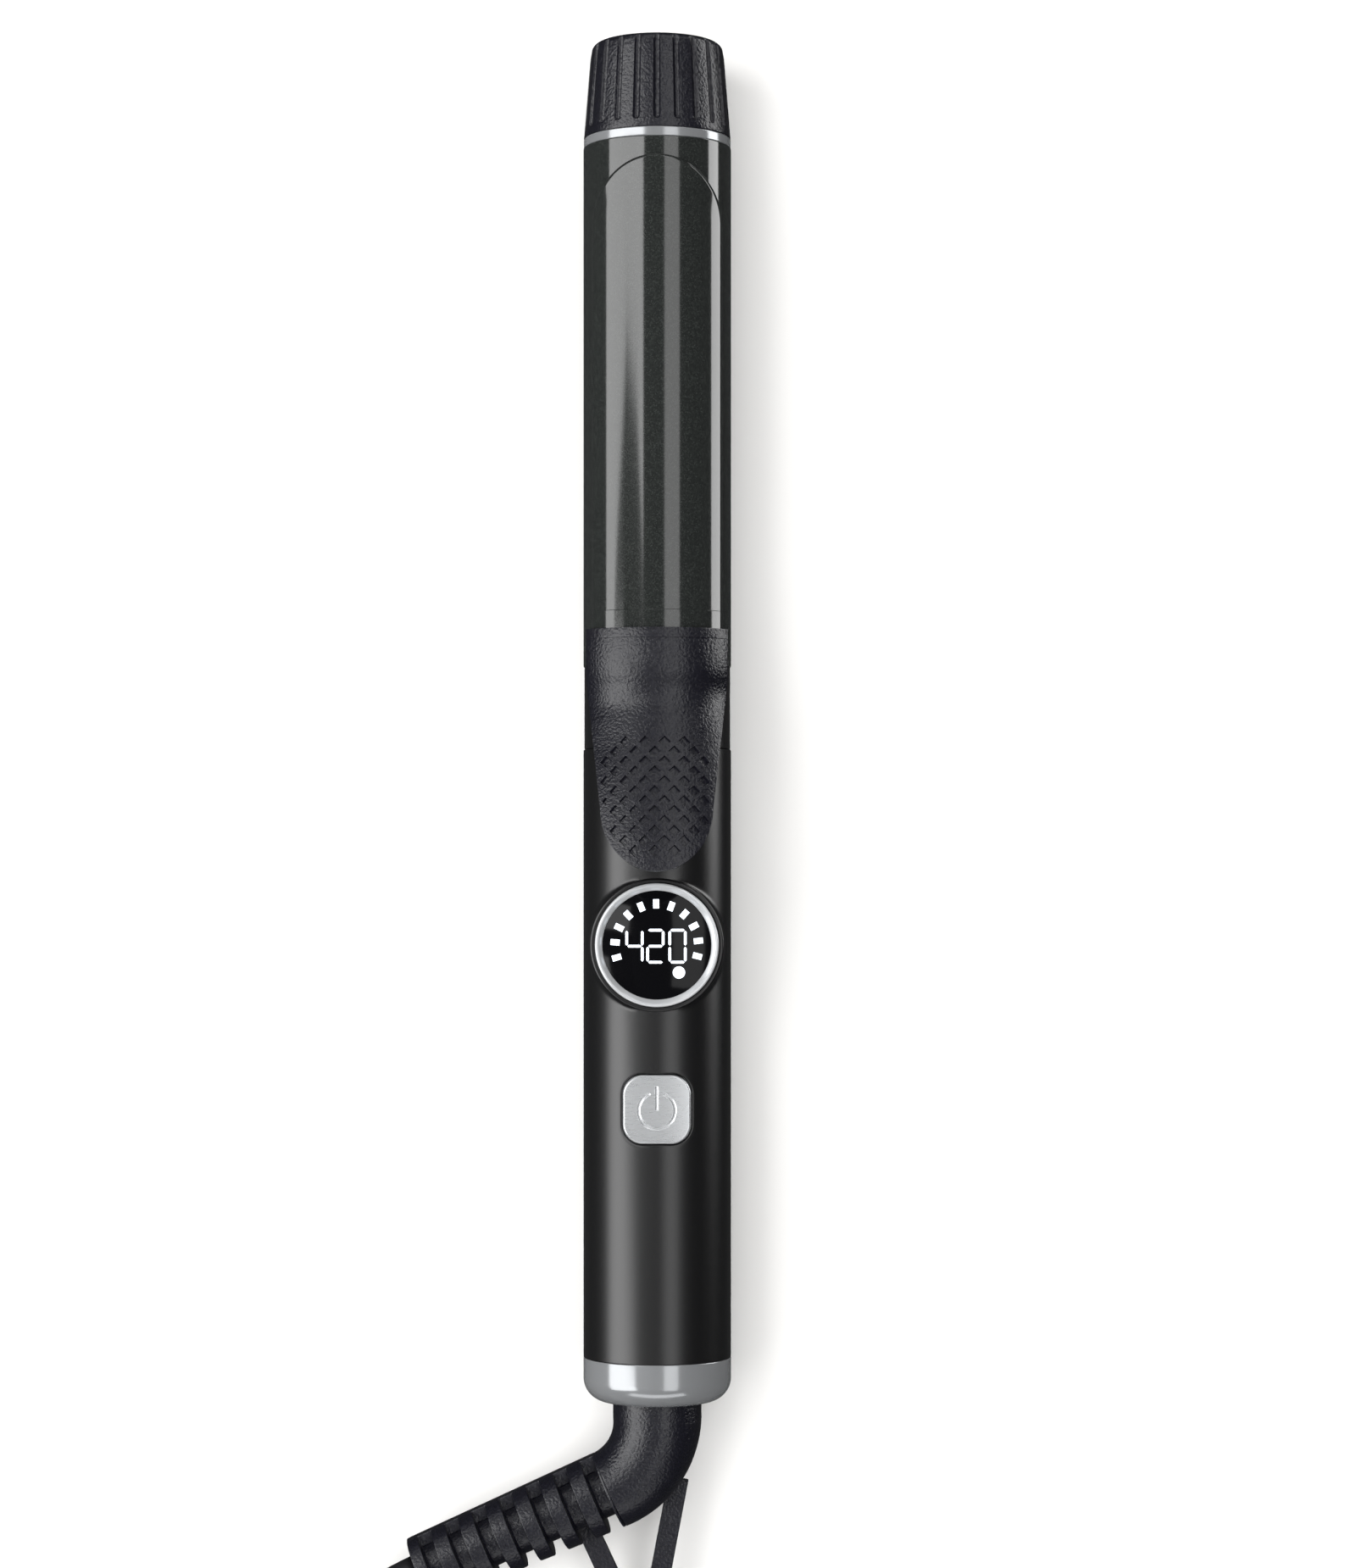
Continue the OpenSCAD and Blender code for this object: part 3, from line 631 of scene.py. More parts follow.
def even_route(points, step):
    """The same smooth route with points a step apart."""
    points = [Vector(p) for p in points]
    fine = []
    for k in range(len(points) - 1):
        before, after = points[max(k - 1, 0)], points[min(k + 2, len(points) - 1)]
        a, b = points[k], points[k + 1]
        for n in range(8):
            t = n / 8
            fine.append(0.5 * (2 * a + (b - before) * t + (2 * before - 5 * a + 4 * b - after) * t * t
                               + (3 * a - before - 3 * b + after) * t**3))
    fine.append(points[-1])
    for _ in range(6):
        inner = [(fine[k - 1] + 2 * fine[k] + fine[k + 1]) / 4 for k in range(1, len(fine) - 1)]
        fine = [fine[0]] + inner + [fine[-1]]
    travelled = [0.0]
    for a, b in zip(fine, fine[1:]):
        travelled.append(travelled[-1] + (b - a).length)
    count = ceil(travelled[-1] / step)
    even, k = [], 0
    for n in range(count + 1):
        s = travelled[-1] * n / count
        while k < len(fine) - 2 and travelled[k + 1] < s:
            k += 1
        t = (s - travelled[k]) / max(1e-9, travelled[k + 1] - travelled[k])
        even.append(fine[k].lerp(fine[k + 1], min(1, t)))
    return even


class WAND_OT_cord(WandOperator):
    """Mains cord: a loose bend, a tied hank and a short tail to the plug"""

    bl_idname = "wand.cord"
    bl_label = "Mains cord"

    def execute(self, context):
        sizes = context.scene.wand_sizes
        points = even_route(CORD_ROUTE + hank_route() + TAIL_ROUTE, 2.4)
        cord = tube("mains_cord", points, [sizes.cord_diameter / 2 / MM] * len(points), 4)
        for polygon in cord.data.polygons:
            polygon.use_smooth = len(polygon.vertices) == 4
        cord.data.materials.append(MATERIALS["cord_sheath"])
        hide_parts("power_cord", "cord_hank", "cord_tail")
        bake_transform(cord)
        return {"FINISHED"}


class WAND_OT_plug(WandOperator):
    """Plug shell with its grip, and the strap that ties the hank"""

    bl_idname = "wand.plug"
    bl_label = "Plug and strap"

    def execute(self, context):
        low, high = [Vector(c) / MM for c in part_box("plug_body")]
        x, low_y, z = (low.x + high.x) / 2, low.y, 8.5
        long = high.y - low.y
        # Place along the plug, half width, half height and corner radius
        rows = [(0, 4.3, 4.3, 4.2), (1.2, 4.9, 4.9, 4.4), (12, 5.6, 5.6, 5), (16, 7.4, 6.6, 5.2), (20, 11.2, 8, 5),
                (23, 12.7, 8.4, 5), (26, 13, 8.5, 5), (long - 1.2, 13, 8.5, 5), (long - 0.3, 12.7, 8.2, 4.8),
                (long, 12.1, 7.6, 4.4)]

        def skin(u, v):
            t = v * long
            half_w, half_h, r = glide(rows, t)
            outline = rounded_outline(2 * half_w, 2 * half_h, min(r, half_w - 0.01, half_h - 0.01), 6)
            # Finger ribs on both flat sides of the grip
            dip = 0.35 * max(0.0, sin(pi * (t - 24) / 1.6)) ** 2 if 24 < t < long - 3 else 0
            px, pz = outline[nearest(u, len(outline)) % len(outline)]
            if abs(px) > half_w - 0.6:
                px -= dip * (1 if px > 0 else -1)
            return x + px, low_y + t, z + pz

        shell = shaped_grid("plug_shell", 48, 60, skin)
        close_holes(shell)
        smooth(shell, 40)
        finish(shell, "wand", "satin_abs", "grained_plastic", "plug_body")

        low, high = [Vector(c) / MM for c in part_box("cord_tie")]
        ring = rounded_outline(high.x - low.x, high.z - low.z, 6, 8)
        middle = (low + high) / 2

        def band(u, v):
            px, pz = ring[nearest(u, len(ring)) % len(ring)]
            crown = 0.25 * (2 * v - 1) ** 2
            shrink = 1 - crown / 20
            return middle.x + px * shrink, low.y + v * (high.y - low.y), middle.z + pz * shrink

        strap = shaped_grid("cord_strap", len(ring), 10, band)
        tab = box("tab", (middle.x - 9, low.y + 0.6, high.z - 1.3), (middle.x + 15, high.y - 0.6, high.z - 0.1))
        modify(strap, "SOLIDIFY", thickness=1.1 * MM, offset=-1)
        bevel(strap, 0.3, 2, 50)
        bevel(tab, 0.4, 2, 50)
        strap = join([strap, tab], "cord_strap")
        smooth(strap, 35)
        finish(strap, "wand", "hook_strap", "tie_strap", "cord_tie")
        coat(["plug_blades"], "turned_brass")
        return {"FINISHED"}


class WAND_OT_cool_tip(WandOperator):
    """Grooved cool tip and the trim ring under it"""

    bl_idname = "wand.cool_tip"
    bl_label = "Cool tip"

    def execute(self, context):
        sizes = context.scene.wand_sizes
        grooves, size = sizes.grooves, sizes.groove_radius
        outer, end, start, far_end, round_r = 15.9, 14.25, 126.4, 147.0, 1.8
        taper = (outer - end) / (far_end - start)
        rows = [(138.4, 0), (138.4, 12), (start, 12), (start, outer - 0.25), (start + 0.08, outer - 0.08)]
        rows += [(start + 0.25, outer)]
        # Rows stand close together where the grooves begin
        ys = [127.4, 127.9, 128.0, 128.1, 128.2, 128.35, 128.5, 128.7, 128.9, 129.3]
        rows += [(y, outer - taper * (y - start)) for y in ys + [130.5 + 1.9 * k for k in range(8)]]
        rows += corner(far_end - round_r, end - round_r, round_r, 0, 90, 10)
        rows += [(far_end, 10.5), (far_end - 0.25, 10.1), (far_end - 0.25, 0)]
        # Sixteen points to a groove, close together where it is cut
        offsets = [-8.18, -6.0, -4.0, -3.0, -2.5, -2.2, -1.6, -0.8, 0, 0.8, 1.6, 2.2, 2.5, 3.0, 4.0, 6.0]
        points = len(offsets)
        tip = turned("cool_tip_cup", rows, grooves * points)
        scale = 22 / grooves
        groove_start, deepest = start + 2.4, 12.2
        for vertex in tip.data.vertices:
            x, y, z = vertex.co.x / MM, vertex.co.y / MM, vertex.co.z / MM - AXIS_Z
            r = hypot(x, z)
            if r < 0.1:
                continue
            index = round(atan2(x, z) / (2 * pi / (grooves * points)))
            groove, k = divmod(index + points // 2, points)
            offset = radians(offsets[k] * scale)
            angle = groove * 2 * pi / grooves + offset
            centre = outer - 0.2 - taper * (y - start - 2.4)
            back = max(0.0, groove_start - y)
            depth = size**2 - back**2 - (r * sin(offset)) ** 2
            if depth > 0 and r > deepest:
                r = min(r, max(deepest, centre - sqrt(depth)))
            vertex.co = (r * sin(angle) * MM, y * MM, (AXIS_Z + r * cos(angle)) * MM)
        tidy(tip)
        smooth(tip, 38)
        finish(tip, "wand", "grained_nylon", "heatproof_plastic", "cool_tip")

        ring = turned("trim_ring", [(124.4, 12), (124.4, 15.7)] + corner(124.65, 15.65, 0.25, -90, 0, 3)
                      + corner(126.15, 15.65, 0.25, 0, 90, 3) + [(126.4, 12), (124.4, 12)], 192)
        smooth(ring)
        finish(ring, "wand", "polished_chrome", "polished_trim", "tip_ring")
        return {"FINISHED"}


class WAND_OT_barrel(WandOperator):
    """Heated barrel and the collar with the hinge pocket"""

    bl_idname = "wand.barrel"
    bl_label = "Barrel and collar"

    def execute(self, context):
        outer = context.scene.wand_sizes.body_radius
        barrel = turned("barrel_tube", [(12, 15)] + corner(12.2, outer - 0.2, 0.2, -90, 0, 3)
                        + corner(124.2, outer - 0.2, 0.2, 0, 90, 3) + [(124.4, 15), (12, 15)], 192)
        smooth(barrel)
        finish(barrel, "wand", "ceramic_coat", "barrel_coating", "barrel")

        rows = [(-11.9, 4.5), (-11.9, 13.7), (-5.9, 13.7)] + corner(-5.6, 15.5, 0.3, -90, 0, 3)
        rows += corner(11.7, 15.5, 0.3, 0, 90, 3) + [(12, 4.5), (-11.9, 4.5)]
        collar = turned("hinge_collar", rows)
        combine(collar, box("pocket", (-8.7, -4, 21.8), (8.7, 11.3, 40)))
        pin = turned("pin_hole", [(-20, 0), (-20, 1.5), (20, 1.5), (20, 0)], 32,
                     shifted(y=4.5, z=25.5) @ Matrix.Rotation(pi / 2, 4, "Y"))
        combine(collar, pin)
        smooth(tidy(collar))
        finish(collar, "wand", "satin_abs", "handle_plastic", "collar")
        return {"FINISHED"}


class WAND_OT_plate(WandOperator):
    """Clamp plate over the barrel"""

    bl_idname = "wand.plate"
    bl_label = "Clamp plate"

    def execute(self, context):
        half = context.scene.wand_sizes.plate_half_width
        outer, far_end, wall, band_end = 17.0, 120.4, 0.85, 23.4
        straight = [6, 9, 11.88, 12, 16, 20, band_end, band_end + 0.12, band_end + 0.3, 30, 45, 60, 75, 90]
        bend = far_end - half
        outline = [(-1, y, 0) for y in straight]
        outline += [(0, bend, radians(-90 + 180 * k / 72)) for k in range(73)]
        outline += [(1, y, 0) for y in reversed(straight)]
        # How far each ring of points lies inside the outline and under the outer face, over and under the plate
        lip = [(1.4, 0), (0.65, 0), (0.5, 0.01), (0.42, 0.05), (0.06, 0.41), (0.01, 0.5), (0, 0.6)]
        across = [half, half - 0.5] + [half - 1 - (half - 2.6) * k / 15 for k in range(15)]
        rings = [(d, 0) for d in across] + lip + [(0, wall - 0.1), (0.1, wall)]
        rings += [(d, wall) for d in reversed(across)]

        def place(u, v):
            side, y, a = outline[nearest(u, len(outline) - 1)]
            inset, sink = rings[nearest(v, len(rings) - 1)]
            width = half - inset
            if side:
                x = side * width * (8 / half if y < 11.9 else 1)
            else:
                x, y = width * sin(a), bend + width * cos(a)
            raised = 0.16 if y < band_end + 0.06 and sink < 0.5 and inset > 0.3 else 0
            return x, y, AXIS_Z + sqrt((outer - sink + raised) ** 2 - x * x)

        plate = shaped_grid("clamp_strip", len(outline) - 1, len(rings) - 1, place)
        close_holes(plate)
        smooth(plate, 35)
        finish(plate, "clamp", "ceramic_coat", "barrel_coating", "clamp_plate")
        return {"FINISHED"}


# Lever along the wand: place, crown height, arch radius, wall, in mm
LEVER_ROWS = [
    (19.6, 34.2, 18.2, 1.15), (18, 34.5, 18.2, 1.15), (15, 35, 18.2, 1.2), (12, 35.3, 18, 1.25),
    (9.5, 35.1, 17.8, 1.3), (7.5, 34.5, 17.6, 1.3), (5.5, 34.2, 17.6, 1.3), (3.5, 34.3, 17.9, 1.5),
    (1.5, 34.8, 18.5, 1.7), (0, 35.3, 19.2, 1.8), (-3, 36.3, 20.3, 2), (-6, 37.4, 21.3, 2),
    (-10, 39.2, 22.4, 2), (-14, 40.9, 23.2, 2), (-18, 42.5, 23.8, 2), (-22, 43.9, 24.2, 2),
    (-25, 44.9, 24.5, 2), (-28, 45.7, 24.8, 2), (-30, 46.2, 25, 2), (-31.4, 46.5, 25, 2),
    (-32.3, 46.6, 25, 2),
]


# Round end of the lever in mm: where it begins, its length and its half width
ROUND_Y, ROUND_LENGTH, ROUND_HALF_WIDTH = -19, 13.3, 11.95


def lever_half_width(y):
    if y > ROUND_Y:
        return min(15.2, ROUND_HALF_WIDTH + 0.118 * (y - ROUND_Y))
    return ROUND_HALF_WIDTH * sqrt(max(0.0, 1 - ((ROUND_Y - y) / ROUND_LENGTH) ** 2))


def lever_point(x, y, sink=0.0):
    """Point of the lever's upper face, or a depth under it."""
    crown, radius, _ = glide(LEVER_ROWS, y)
    a = asin(max(-1, min(1, x / radius)))
    r = radius - sink
    return r * sin(a), y, crown - radius + r * cos(a)


class WAND_OT_lever(WandOperator):
    """Thumb lever with its diamond grip"""

    bl_idname = "wand.lever"
    bl_label = "Thumb lever"

    def execute(self, context):
        ys = [19.6, 19.2, 18.6, 17.8, 17.5, 17.42, 17.3, 16.9]
        ys += [16 - 0.7 * k for k in range(24)] + [-0.8 - 1.4 * k for k in range(13)]
        ys += [ROUND_Y - ROUND_LENGTH * sin(radians(a)) for a in [5 * k for k in range(17)] + [83.6]]

        def place(u, v):
            y = ys[nearest(v, len(ys) - 1)]
            radius = glide(LEVER_ROWS, y)[1]
            reach = asin(lever_half_width(y) / radius)
            x, y, z = lever_point(radius * sin(reach * (2 * u - 1)), y)
            # A low lip stands across the front edge
            return x, y, z + (0.22 if y > 17.45 else 0)

        lever = shaped_grid("thumb_lever", 64, len(ys) - 1, place)
        if lever.data.polygons[len(lever.data.polygons) // 2].normal.z < 0:
            lever.data.flip_normals()
        walls = lever.vertex_groups.new(name="wall")
        for vertex in lever.data.vertices:
            walls.add([vertex.index], glide(LEVER_ROWS, vertex.co.y / MM)[2] / 2, "REPLACE")
        modify(lever, "SOLIDIFY", thickness=2 * MM, offset=-1, vertex_group="wall")
        tidy(lever)
        bevel(lever, 0.4, 3, 50)

        half = context.scene.wand_sizes.diamond / 2
        studs = []
        # How many diamonds each row of the grip has, from the saddle to the round end
        for k, count in enumerate((4, 5, 6, 5, 6, 5, 6, 5, 6, 5, 4, 3)):
            y = -4.8 - 2.11 * k
            for n in range(count):
                x = -0.4 + 4.16 * (n - (count - 1) / 2)
                room = lever_half_width(y) - abs(x) - 0.5
                if room < 0.7:
                    continue
                size = min(half, room)
                here = Vector(lever_point(x, y))
                up = (Vector(lever_point(x, y, -1)) - here).normalized()
                along = (Vector(lever_point(x, y + 0.5)) - Vector(lever_point(x, y - 0.5))).normalized()
                across = along.cross(up).normalized()
                up = across.cross(along)
                deselect()
                bpy.ops.mesh.primitive_cone_add(vertices=4, radius1=(size - 0.12) * MM, radius2=(size + 0.18) * MM,
                                                depth=1.2 * MM, location=(0, 0, 0))
                stud = context.object
                turn = Matrix((across, along, up)).transposed().to_4x4()
                settle(stud, Matrix.Translation(here * MM) @ turn @ shifted(z=0.05))
                studs.append(stud)
        combine(lever, join(studs, "studs"))
        tidy(lever, 1e-7)
        smooth(lever, 32)
        finish(lever, "clamp", "grained_nylon", "grained_plastic", "clamp_lever")
        return {"FINISHED"}


class WAND_OT_handle(WandOperator):
    """Handle shells with the display pod and the button well"""

    bl_idname = "wand.handle"
    bl_label = "Handle shells"

    def execute(self, context):
        outer = context.scene.wand_sizes.body_radius
        ys = [-137.5, -137.2, -130, -112, -95, -83, -66, -48, -30, -15, -6.2, -5.9]

        def shell(name, first, last):
            def place(u, v):
                a = radians(first + (last - first) * u)
                return outer * sin(a), ys[nearest(v, len(ys) - 1)], AXIS_Z + outer * cos(a)

            obj = shaped_grid(name, 96, len(ys) - 1, place)
            middle = obj.data.polygons[len(obj.data.polygons) // 2]
            if middle.normal.z * (middle.center.z - AXIS_Z * MM) < 0:
                obj.data.flip_normals()
            modify(obj, "SOLIDIFY", thickness=2.2 * MM, offset=-1)
            tidy(obj)
            return bevel(obj, 0.22, 2, 50)

        def dome(x):
            return AXIS_Z + sqrt(max(0.0, outer * outer - x * x))

        front = shell("handle_front_shell", -90, 90)
        combine(front, turned("pod_hole", [(18, 0), (18, 13.9), (40, 13.9), (40, 0)], place=shifted(y=DISPLAY_Y)))
        well_width, well_length = 14.9, 15.1
        outline = rounded_outline(well_width + 0.8, well_length + 0.8, 4.8, 10)

        def well_cutter(u, v):
            x, y = outline[nearest(u, len(outline)) % len(outline)]
            return x, BUTTON_Y + y, (20, 40)[nearest(v, 1)]

        cutter = shaped_grid("well_hole", len(outline), 1, well_cutter)
        close_holes(cutter)
        combine(front, cutter)

        # Pod: a fillet off the shell, a wall and a round rim about the bezel
        pod, top, spread, rim_r = 14.3, 32.3, 1.1, 0.55

        def pod_skin(u, v):
            a = 2 * pi * u
            k = nearest(v, 21)
            across = abs(sin(a))
            foot_x, wall_x = (pod + spread) * sin(a), pod * sin(a)
            foot = (pod + spread, dome(foot_x) + 0.01)
            knee = (pod, dome(wall_x))
            wall = (pod, min(top - 0.7, dome(wall_x) + spread * (0.5 + across)))
            if k <= 8:
                t = k / 8
                r = (1 - t) ** 2 * foot[0] + 2 * t * (1 - t) * knee[0] + t * t * wall[0]
                z = (1 - t) ** 2 * foot[1] + 2 * t * (1 - t) * knee[1] + t * t * wall[1]
            elif k <= 15:
                t = radians(90 * (k - 9) / 6)
                r, z = pod - rim_r + rim_r * cos(t), top - rim_r + rim_r * sin(t)
            elif k <= 20:
                r, z = [(13.45, top), (13.3, top - 0.15), (13.3, 29.8), (11.7, 29.8), (11.7, 24)][k - 16]
            else:
                r, z = 13.9, min(dome(13.9 * sin(a)) - 1.0, 30)
            return r * sin(a), DISPLAY_Y + r * cos(a), z

        ring = shaped_grid("pod", 160, 21, pod_skin)

        rim = rounded_outline(well_width, well_length, 4.4, 10)
        # How far each ring of the well's lip lies outside the rim and under the shell
        lip = [(0.9, -0.01), (0.5, -0.005), (0.3, 0.03), (0.15, 0.1), (0.05, 0.22), (0, 0.4), (0, 2.0), (0, 4)]
        lip += [(0.6, 4)]

        def well_skin(u, v):
            x, y = rim[nearest(u, len(rim)) % len(rim)]
            away = hypot(x, y)
            off, sink = lip[nearest(v, len(lip) - 1)]
            x, y = x * (1 + off / away), y * (1 + off / away)
            return x, BUTTON_Y + y, dome(x) - sink

        well = shaped_grid("well", len(rim), len(lip) - 1, well_skin)
        boss = [(19, 1), (19, 2.8), (30.9, 2.8), (30.9, 0), (28, 0), (28, 1), (19, 1)]
        bosses = [turned("boss", boss, 32, shifted(y=y)) for y in SCREWS_Y]
        front = join([front, ring, well] + bosses, "handle_front_shell")
        smooth(front, 34)
        finish(front, "wand", "satin_abs", "handle_plastic", "handle_front")

        rear = shell("handle_rear_shell", 90, 270)
        for y in SCREWS_Y:
            combine(rear, turned("bore", [(-1, 0), (-1, 3.8), (2.9, 3.8), (2.9, 0)], 48, shifted(y=y)))
        cup = [(AXIS_Z, 1.5), (4.6, 1.5), (4.6, 2.8), (0.75, 2.8), (0.45, 2.95), (0.25, 3.3), (0.42, 3.9)]
        cup += [(3, 3.8), (AXIS_Z, 3.8), (AXIS_Z, 1.5)]
        post = [(4, 0), (4, 2), (17.2, 2), (17.2, 0.7), (10, 0.7), (10, 0)]
        inside = [turned("cup", cup, 48, shifted(y=y)) for y in SCREWS_Y]
        inside += [turned("post", post, 24, shifted(x, y)) for x in (-8.5, 8.5) for y in (-36, -104)]
        rear = join([rear] + inside, "handle_rear_shell")
        smooth(rear, 34)
        finish(rear, "wand", "satin_abs", "handle_plastic", "handle_rear")
        return {"FINISHED"}


class WAND_OT_display(WandOperator):
    """Bezel, smoked lens and lit windows"""

    bl_idname = "wand.display"
    bl_label = "Display"

    def execute(self, context):
        upright = shifted(y=DISPLAY_Y)
        bezel = turned("bezel_ring", [(29.8, 11.6), (29.8, 13.2)] + corner(32.5, 12.7, 0.5, 0, 90, 6)
                       + [(33, 12.5), (32.9, 12.36), (32.35, 11.72), (32.2, 11.6), (29.8, 11.6)], 160, upright)
        smooth(bezel)
        finish(bezel, "wand", "spun_aluminium", "polished_trim", "display_bezel")

        # The lens is a shallow dome, so the lights stand in it as soft bands
        lens_r, lens_edge, dome_r = 11.55, 32.1, 36.0

        def dome(x, y, lift=0.0):
            z = lens_edge - sqrt(dome_r**2 - lens_r**2) + sqrt(dome_r**2 - x * x - y * y) + lift
            return x, DISPLAY_Y + y, z

        rows = [(dome(r, 0)[2], r) for r in (*range(11), 10.8, 11.3, lens_r)]
        lens = turned("smoked_lens", rows + [(30.2, lens_r), (30.2, 0)], place=upright)
        smooth(lens)
        finish(lens, "wand", "lens_acrylic", "lens_black", "display_lens")

        # Light windows: ticks round the dial, three digits of pointed bars, a dot
        windows = []

        def window(centre, length, width, turn, point=0.0):
            c, s = cos(turn), sin(turn)
            stops = (0, point, length - point, length) if point else (0, length / 3, 2 * length / 3, length)

            def place(u, v):
                k = nearest(u, 3)
                along = stops[k] - length / 2
                across = (v - 0.5) * width * (0.06 if point and k in (0, 3) else 1)
                return dome(centre[0] + along * c - across * s, centre[1] + along * s + across * c, 0.03)

            windows.append(shaped_grid("window", 3, 1, place))

        for k in range(11):
            a = radians(-1 + 21.1 * (k - 5))
            window((8.9 * sin(a), 8.9 * cos(a) - 0.1), 1.95, 1.25, pi / 2 - a)
        wide, tall, bar, middle = 3.3, 3.4, 0.56, -0.2
        # Each bar's middle from the digit's left side, and whether it stands
        bars = {
            "a": (wide / 2, tall, 0), "g": (wide / 2, 0, 0), "d": (wide / 2, -tall, 0),
            "f": (0, tall / 2, 1), "b": (wide, tall / 2, 1), "e": (0, -tall / 2, 1), "c": (wide, -tall / 2, 1),
        }
        for left, lit in ((-6.4, "fgbc"), (-1.95, "abged"), (2.75, "abcdef")):
            for key in lit:
                x, y, upright_bar = bars[key]
                long = (tall if upright_bar else wide) - 0.3
                window((left + x, middle + y), long, bar, pi / 2 * upright_bar, bar / 2)
        deselect()
        bpy.ops.mesh.primitive_circle_add(vertices=48, radius=1.3 * MM, fill_type="TRIFAN",
                                          location=(4.7 * MM, -53.8 * MM, 0))
        dot = settle(context.object)
        for vertex in dot.data.vertices:
            vertex.co.z = dome(vertex.co.x / MM, vertex.co.y / MM - DISPLAY_Y, 0.03)[2] * MM
        windows = join(windows + [dot], "light_windows")
        if windows.data.polygons[0].normal.z < 0:
            windows.data.flip_normals()
        modify(windows, "SOLIDIFY", thickness=0.2 * MM, offset=-1)
        tidy(windows)
        smooth(windows, 30)
        finish(windows, "wand", "light_window", "display_light", "display_segments")
        return {"FINISHED"}


class WAND_OT_button(WandOperator):
    """Power button with an engraved power sign"""

    bl_idname = "wand.button"
    bl_label = "Power button"

    def execute(self, context):
        outline = rounded_outline(14.5, 14.7, 4.2, 22)
        top, crown_r, edge_r, rows = 32.6, 80, 0.5, 84
        # The sign's ring lies a little below the middle, and is open at the top, by a gap in degrees to each side
        ring_r, ring_drop, gap = 3.9, 0.2, 26
        gap_x, gap_y = ring_r * sin(radians(gap)), ring_r * cos(radians(gap))

        def crown(x, y):
            """Height of the domed top with the power sign sunk into it."""
            up = y + ring_drop
            if abs(degrees(atan2(x, up))) > gap:
                away = abs(hypot(x, up) - ring_r)
            else:
                away = min(hypot(x - side * gap_x, up - gap_y) for side in (-1, 1))
            away = min(away, hypot(x, y - max(0.1, min(4.8, y))))
            groove = max(0.0, 1 - (away / 0.34) ** 2)
            return top - crown_r + sqrt(crown_r**2 - x * x - y * y) - 0.2 * groove

        def place(u, v):
            x, y = outline[nearest(u, len(outline)) % len(outline)]
            n = nearest(v, rows)
            away = hypot(x, y)
            if n < 2:
                return x, BUTTON_Y + y, (28.0, crown(x, y) - edge_r)[n]
            t = radians(min(90, 15 * (n - 1)))
            inset = edge_r * (1 - cos(t)) + (away - edge_r) * max(0, n - 7) / (rows - 7)
            x, y = x * (1 - inset / away), y * (1 - inset / away)
            return x, BUTTON_Y + y, crown(x, y) - edge_r * (1 - sin(t))

        button = shaped_grid("power_key", len(outline), rows, place)
        close_holes(button)
        skirt = box("keeper", (-7.8, -91.5, 26.2), (7.8, -74.5, 27.0))
        bevel(skirt, 0.2, 2)
        block = box("block", (-6.8, -89.9, 26.9), (6.8, -76.1, 28.1))
        stem = turned("stem", [(23.6, 0), (23.6, 2.4), (26.3, 2.4), (26.3, 0)], 32, shifted(y=BUTTON_Y))
        button = join([button, skirt, block, stem], "power_key")
        smooth(button, 34)
        finish(button, "button", "brushed_aluminium", "satin_metal", "power_button")
        return {"FINISHED"}


class WAND_OT_end_cap(WandOperator):
    """Polished end cap"""

    bl_idname = "wand.end_cap"
    bl_label = "End cap"

    def execute(self, context):
        outer = context.scene.wand_sizes.body_radius
        rows = [(-145.3, 9.8), (-146.8, 9.8), (-146.94, 9.86), (-147, 10)]
        rows += corner(-142, outer - 5, 5, -90, 0, 14)
        rows += corner(-137.7, outer - 0.2, 0.2, 0, 90, 3)
        rows += [(-137.5, 13.7), (-133.5, 13.7), (-133.5, 12.5), (-145.3, 12.5), (-145.3, 9.8)]
        cap = smooth(turned("end_cap_cup", rows, 192))
        finish(cap, "wand", "polished_chrome", "polished_trim", "end_cap")
        return {"FINISHED"}


# The sleeve starts here and runs this way; its own Z is its length and its own Y points down in the plan
IN_SLEEVE = (
    shifted(-10.1, -166.3, AXIS_Z) @ Matrix.Rotation(radians(203.5), 4, "Z") @ Matrix.Rotation(pi / 2, 4, "Y")
)


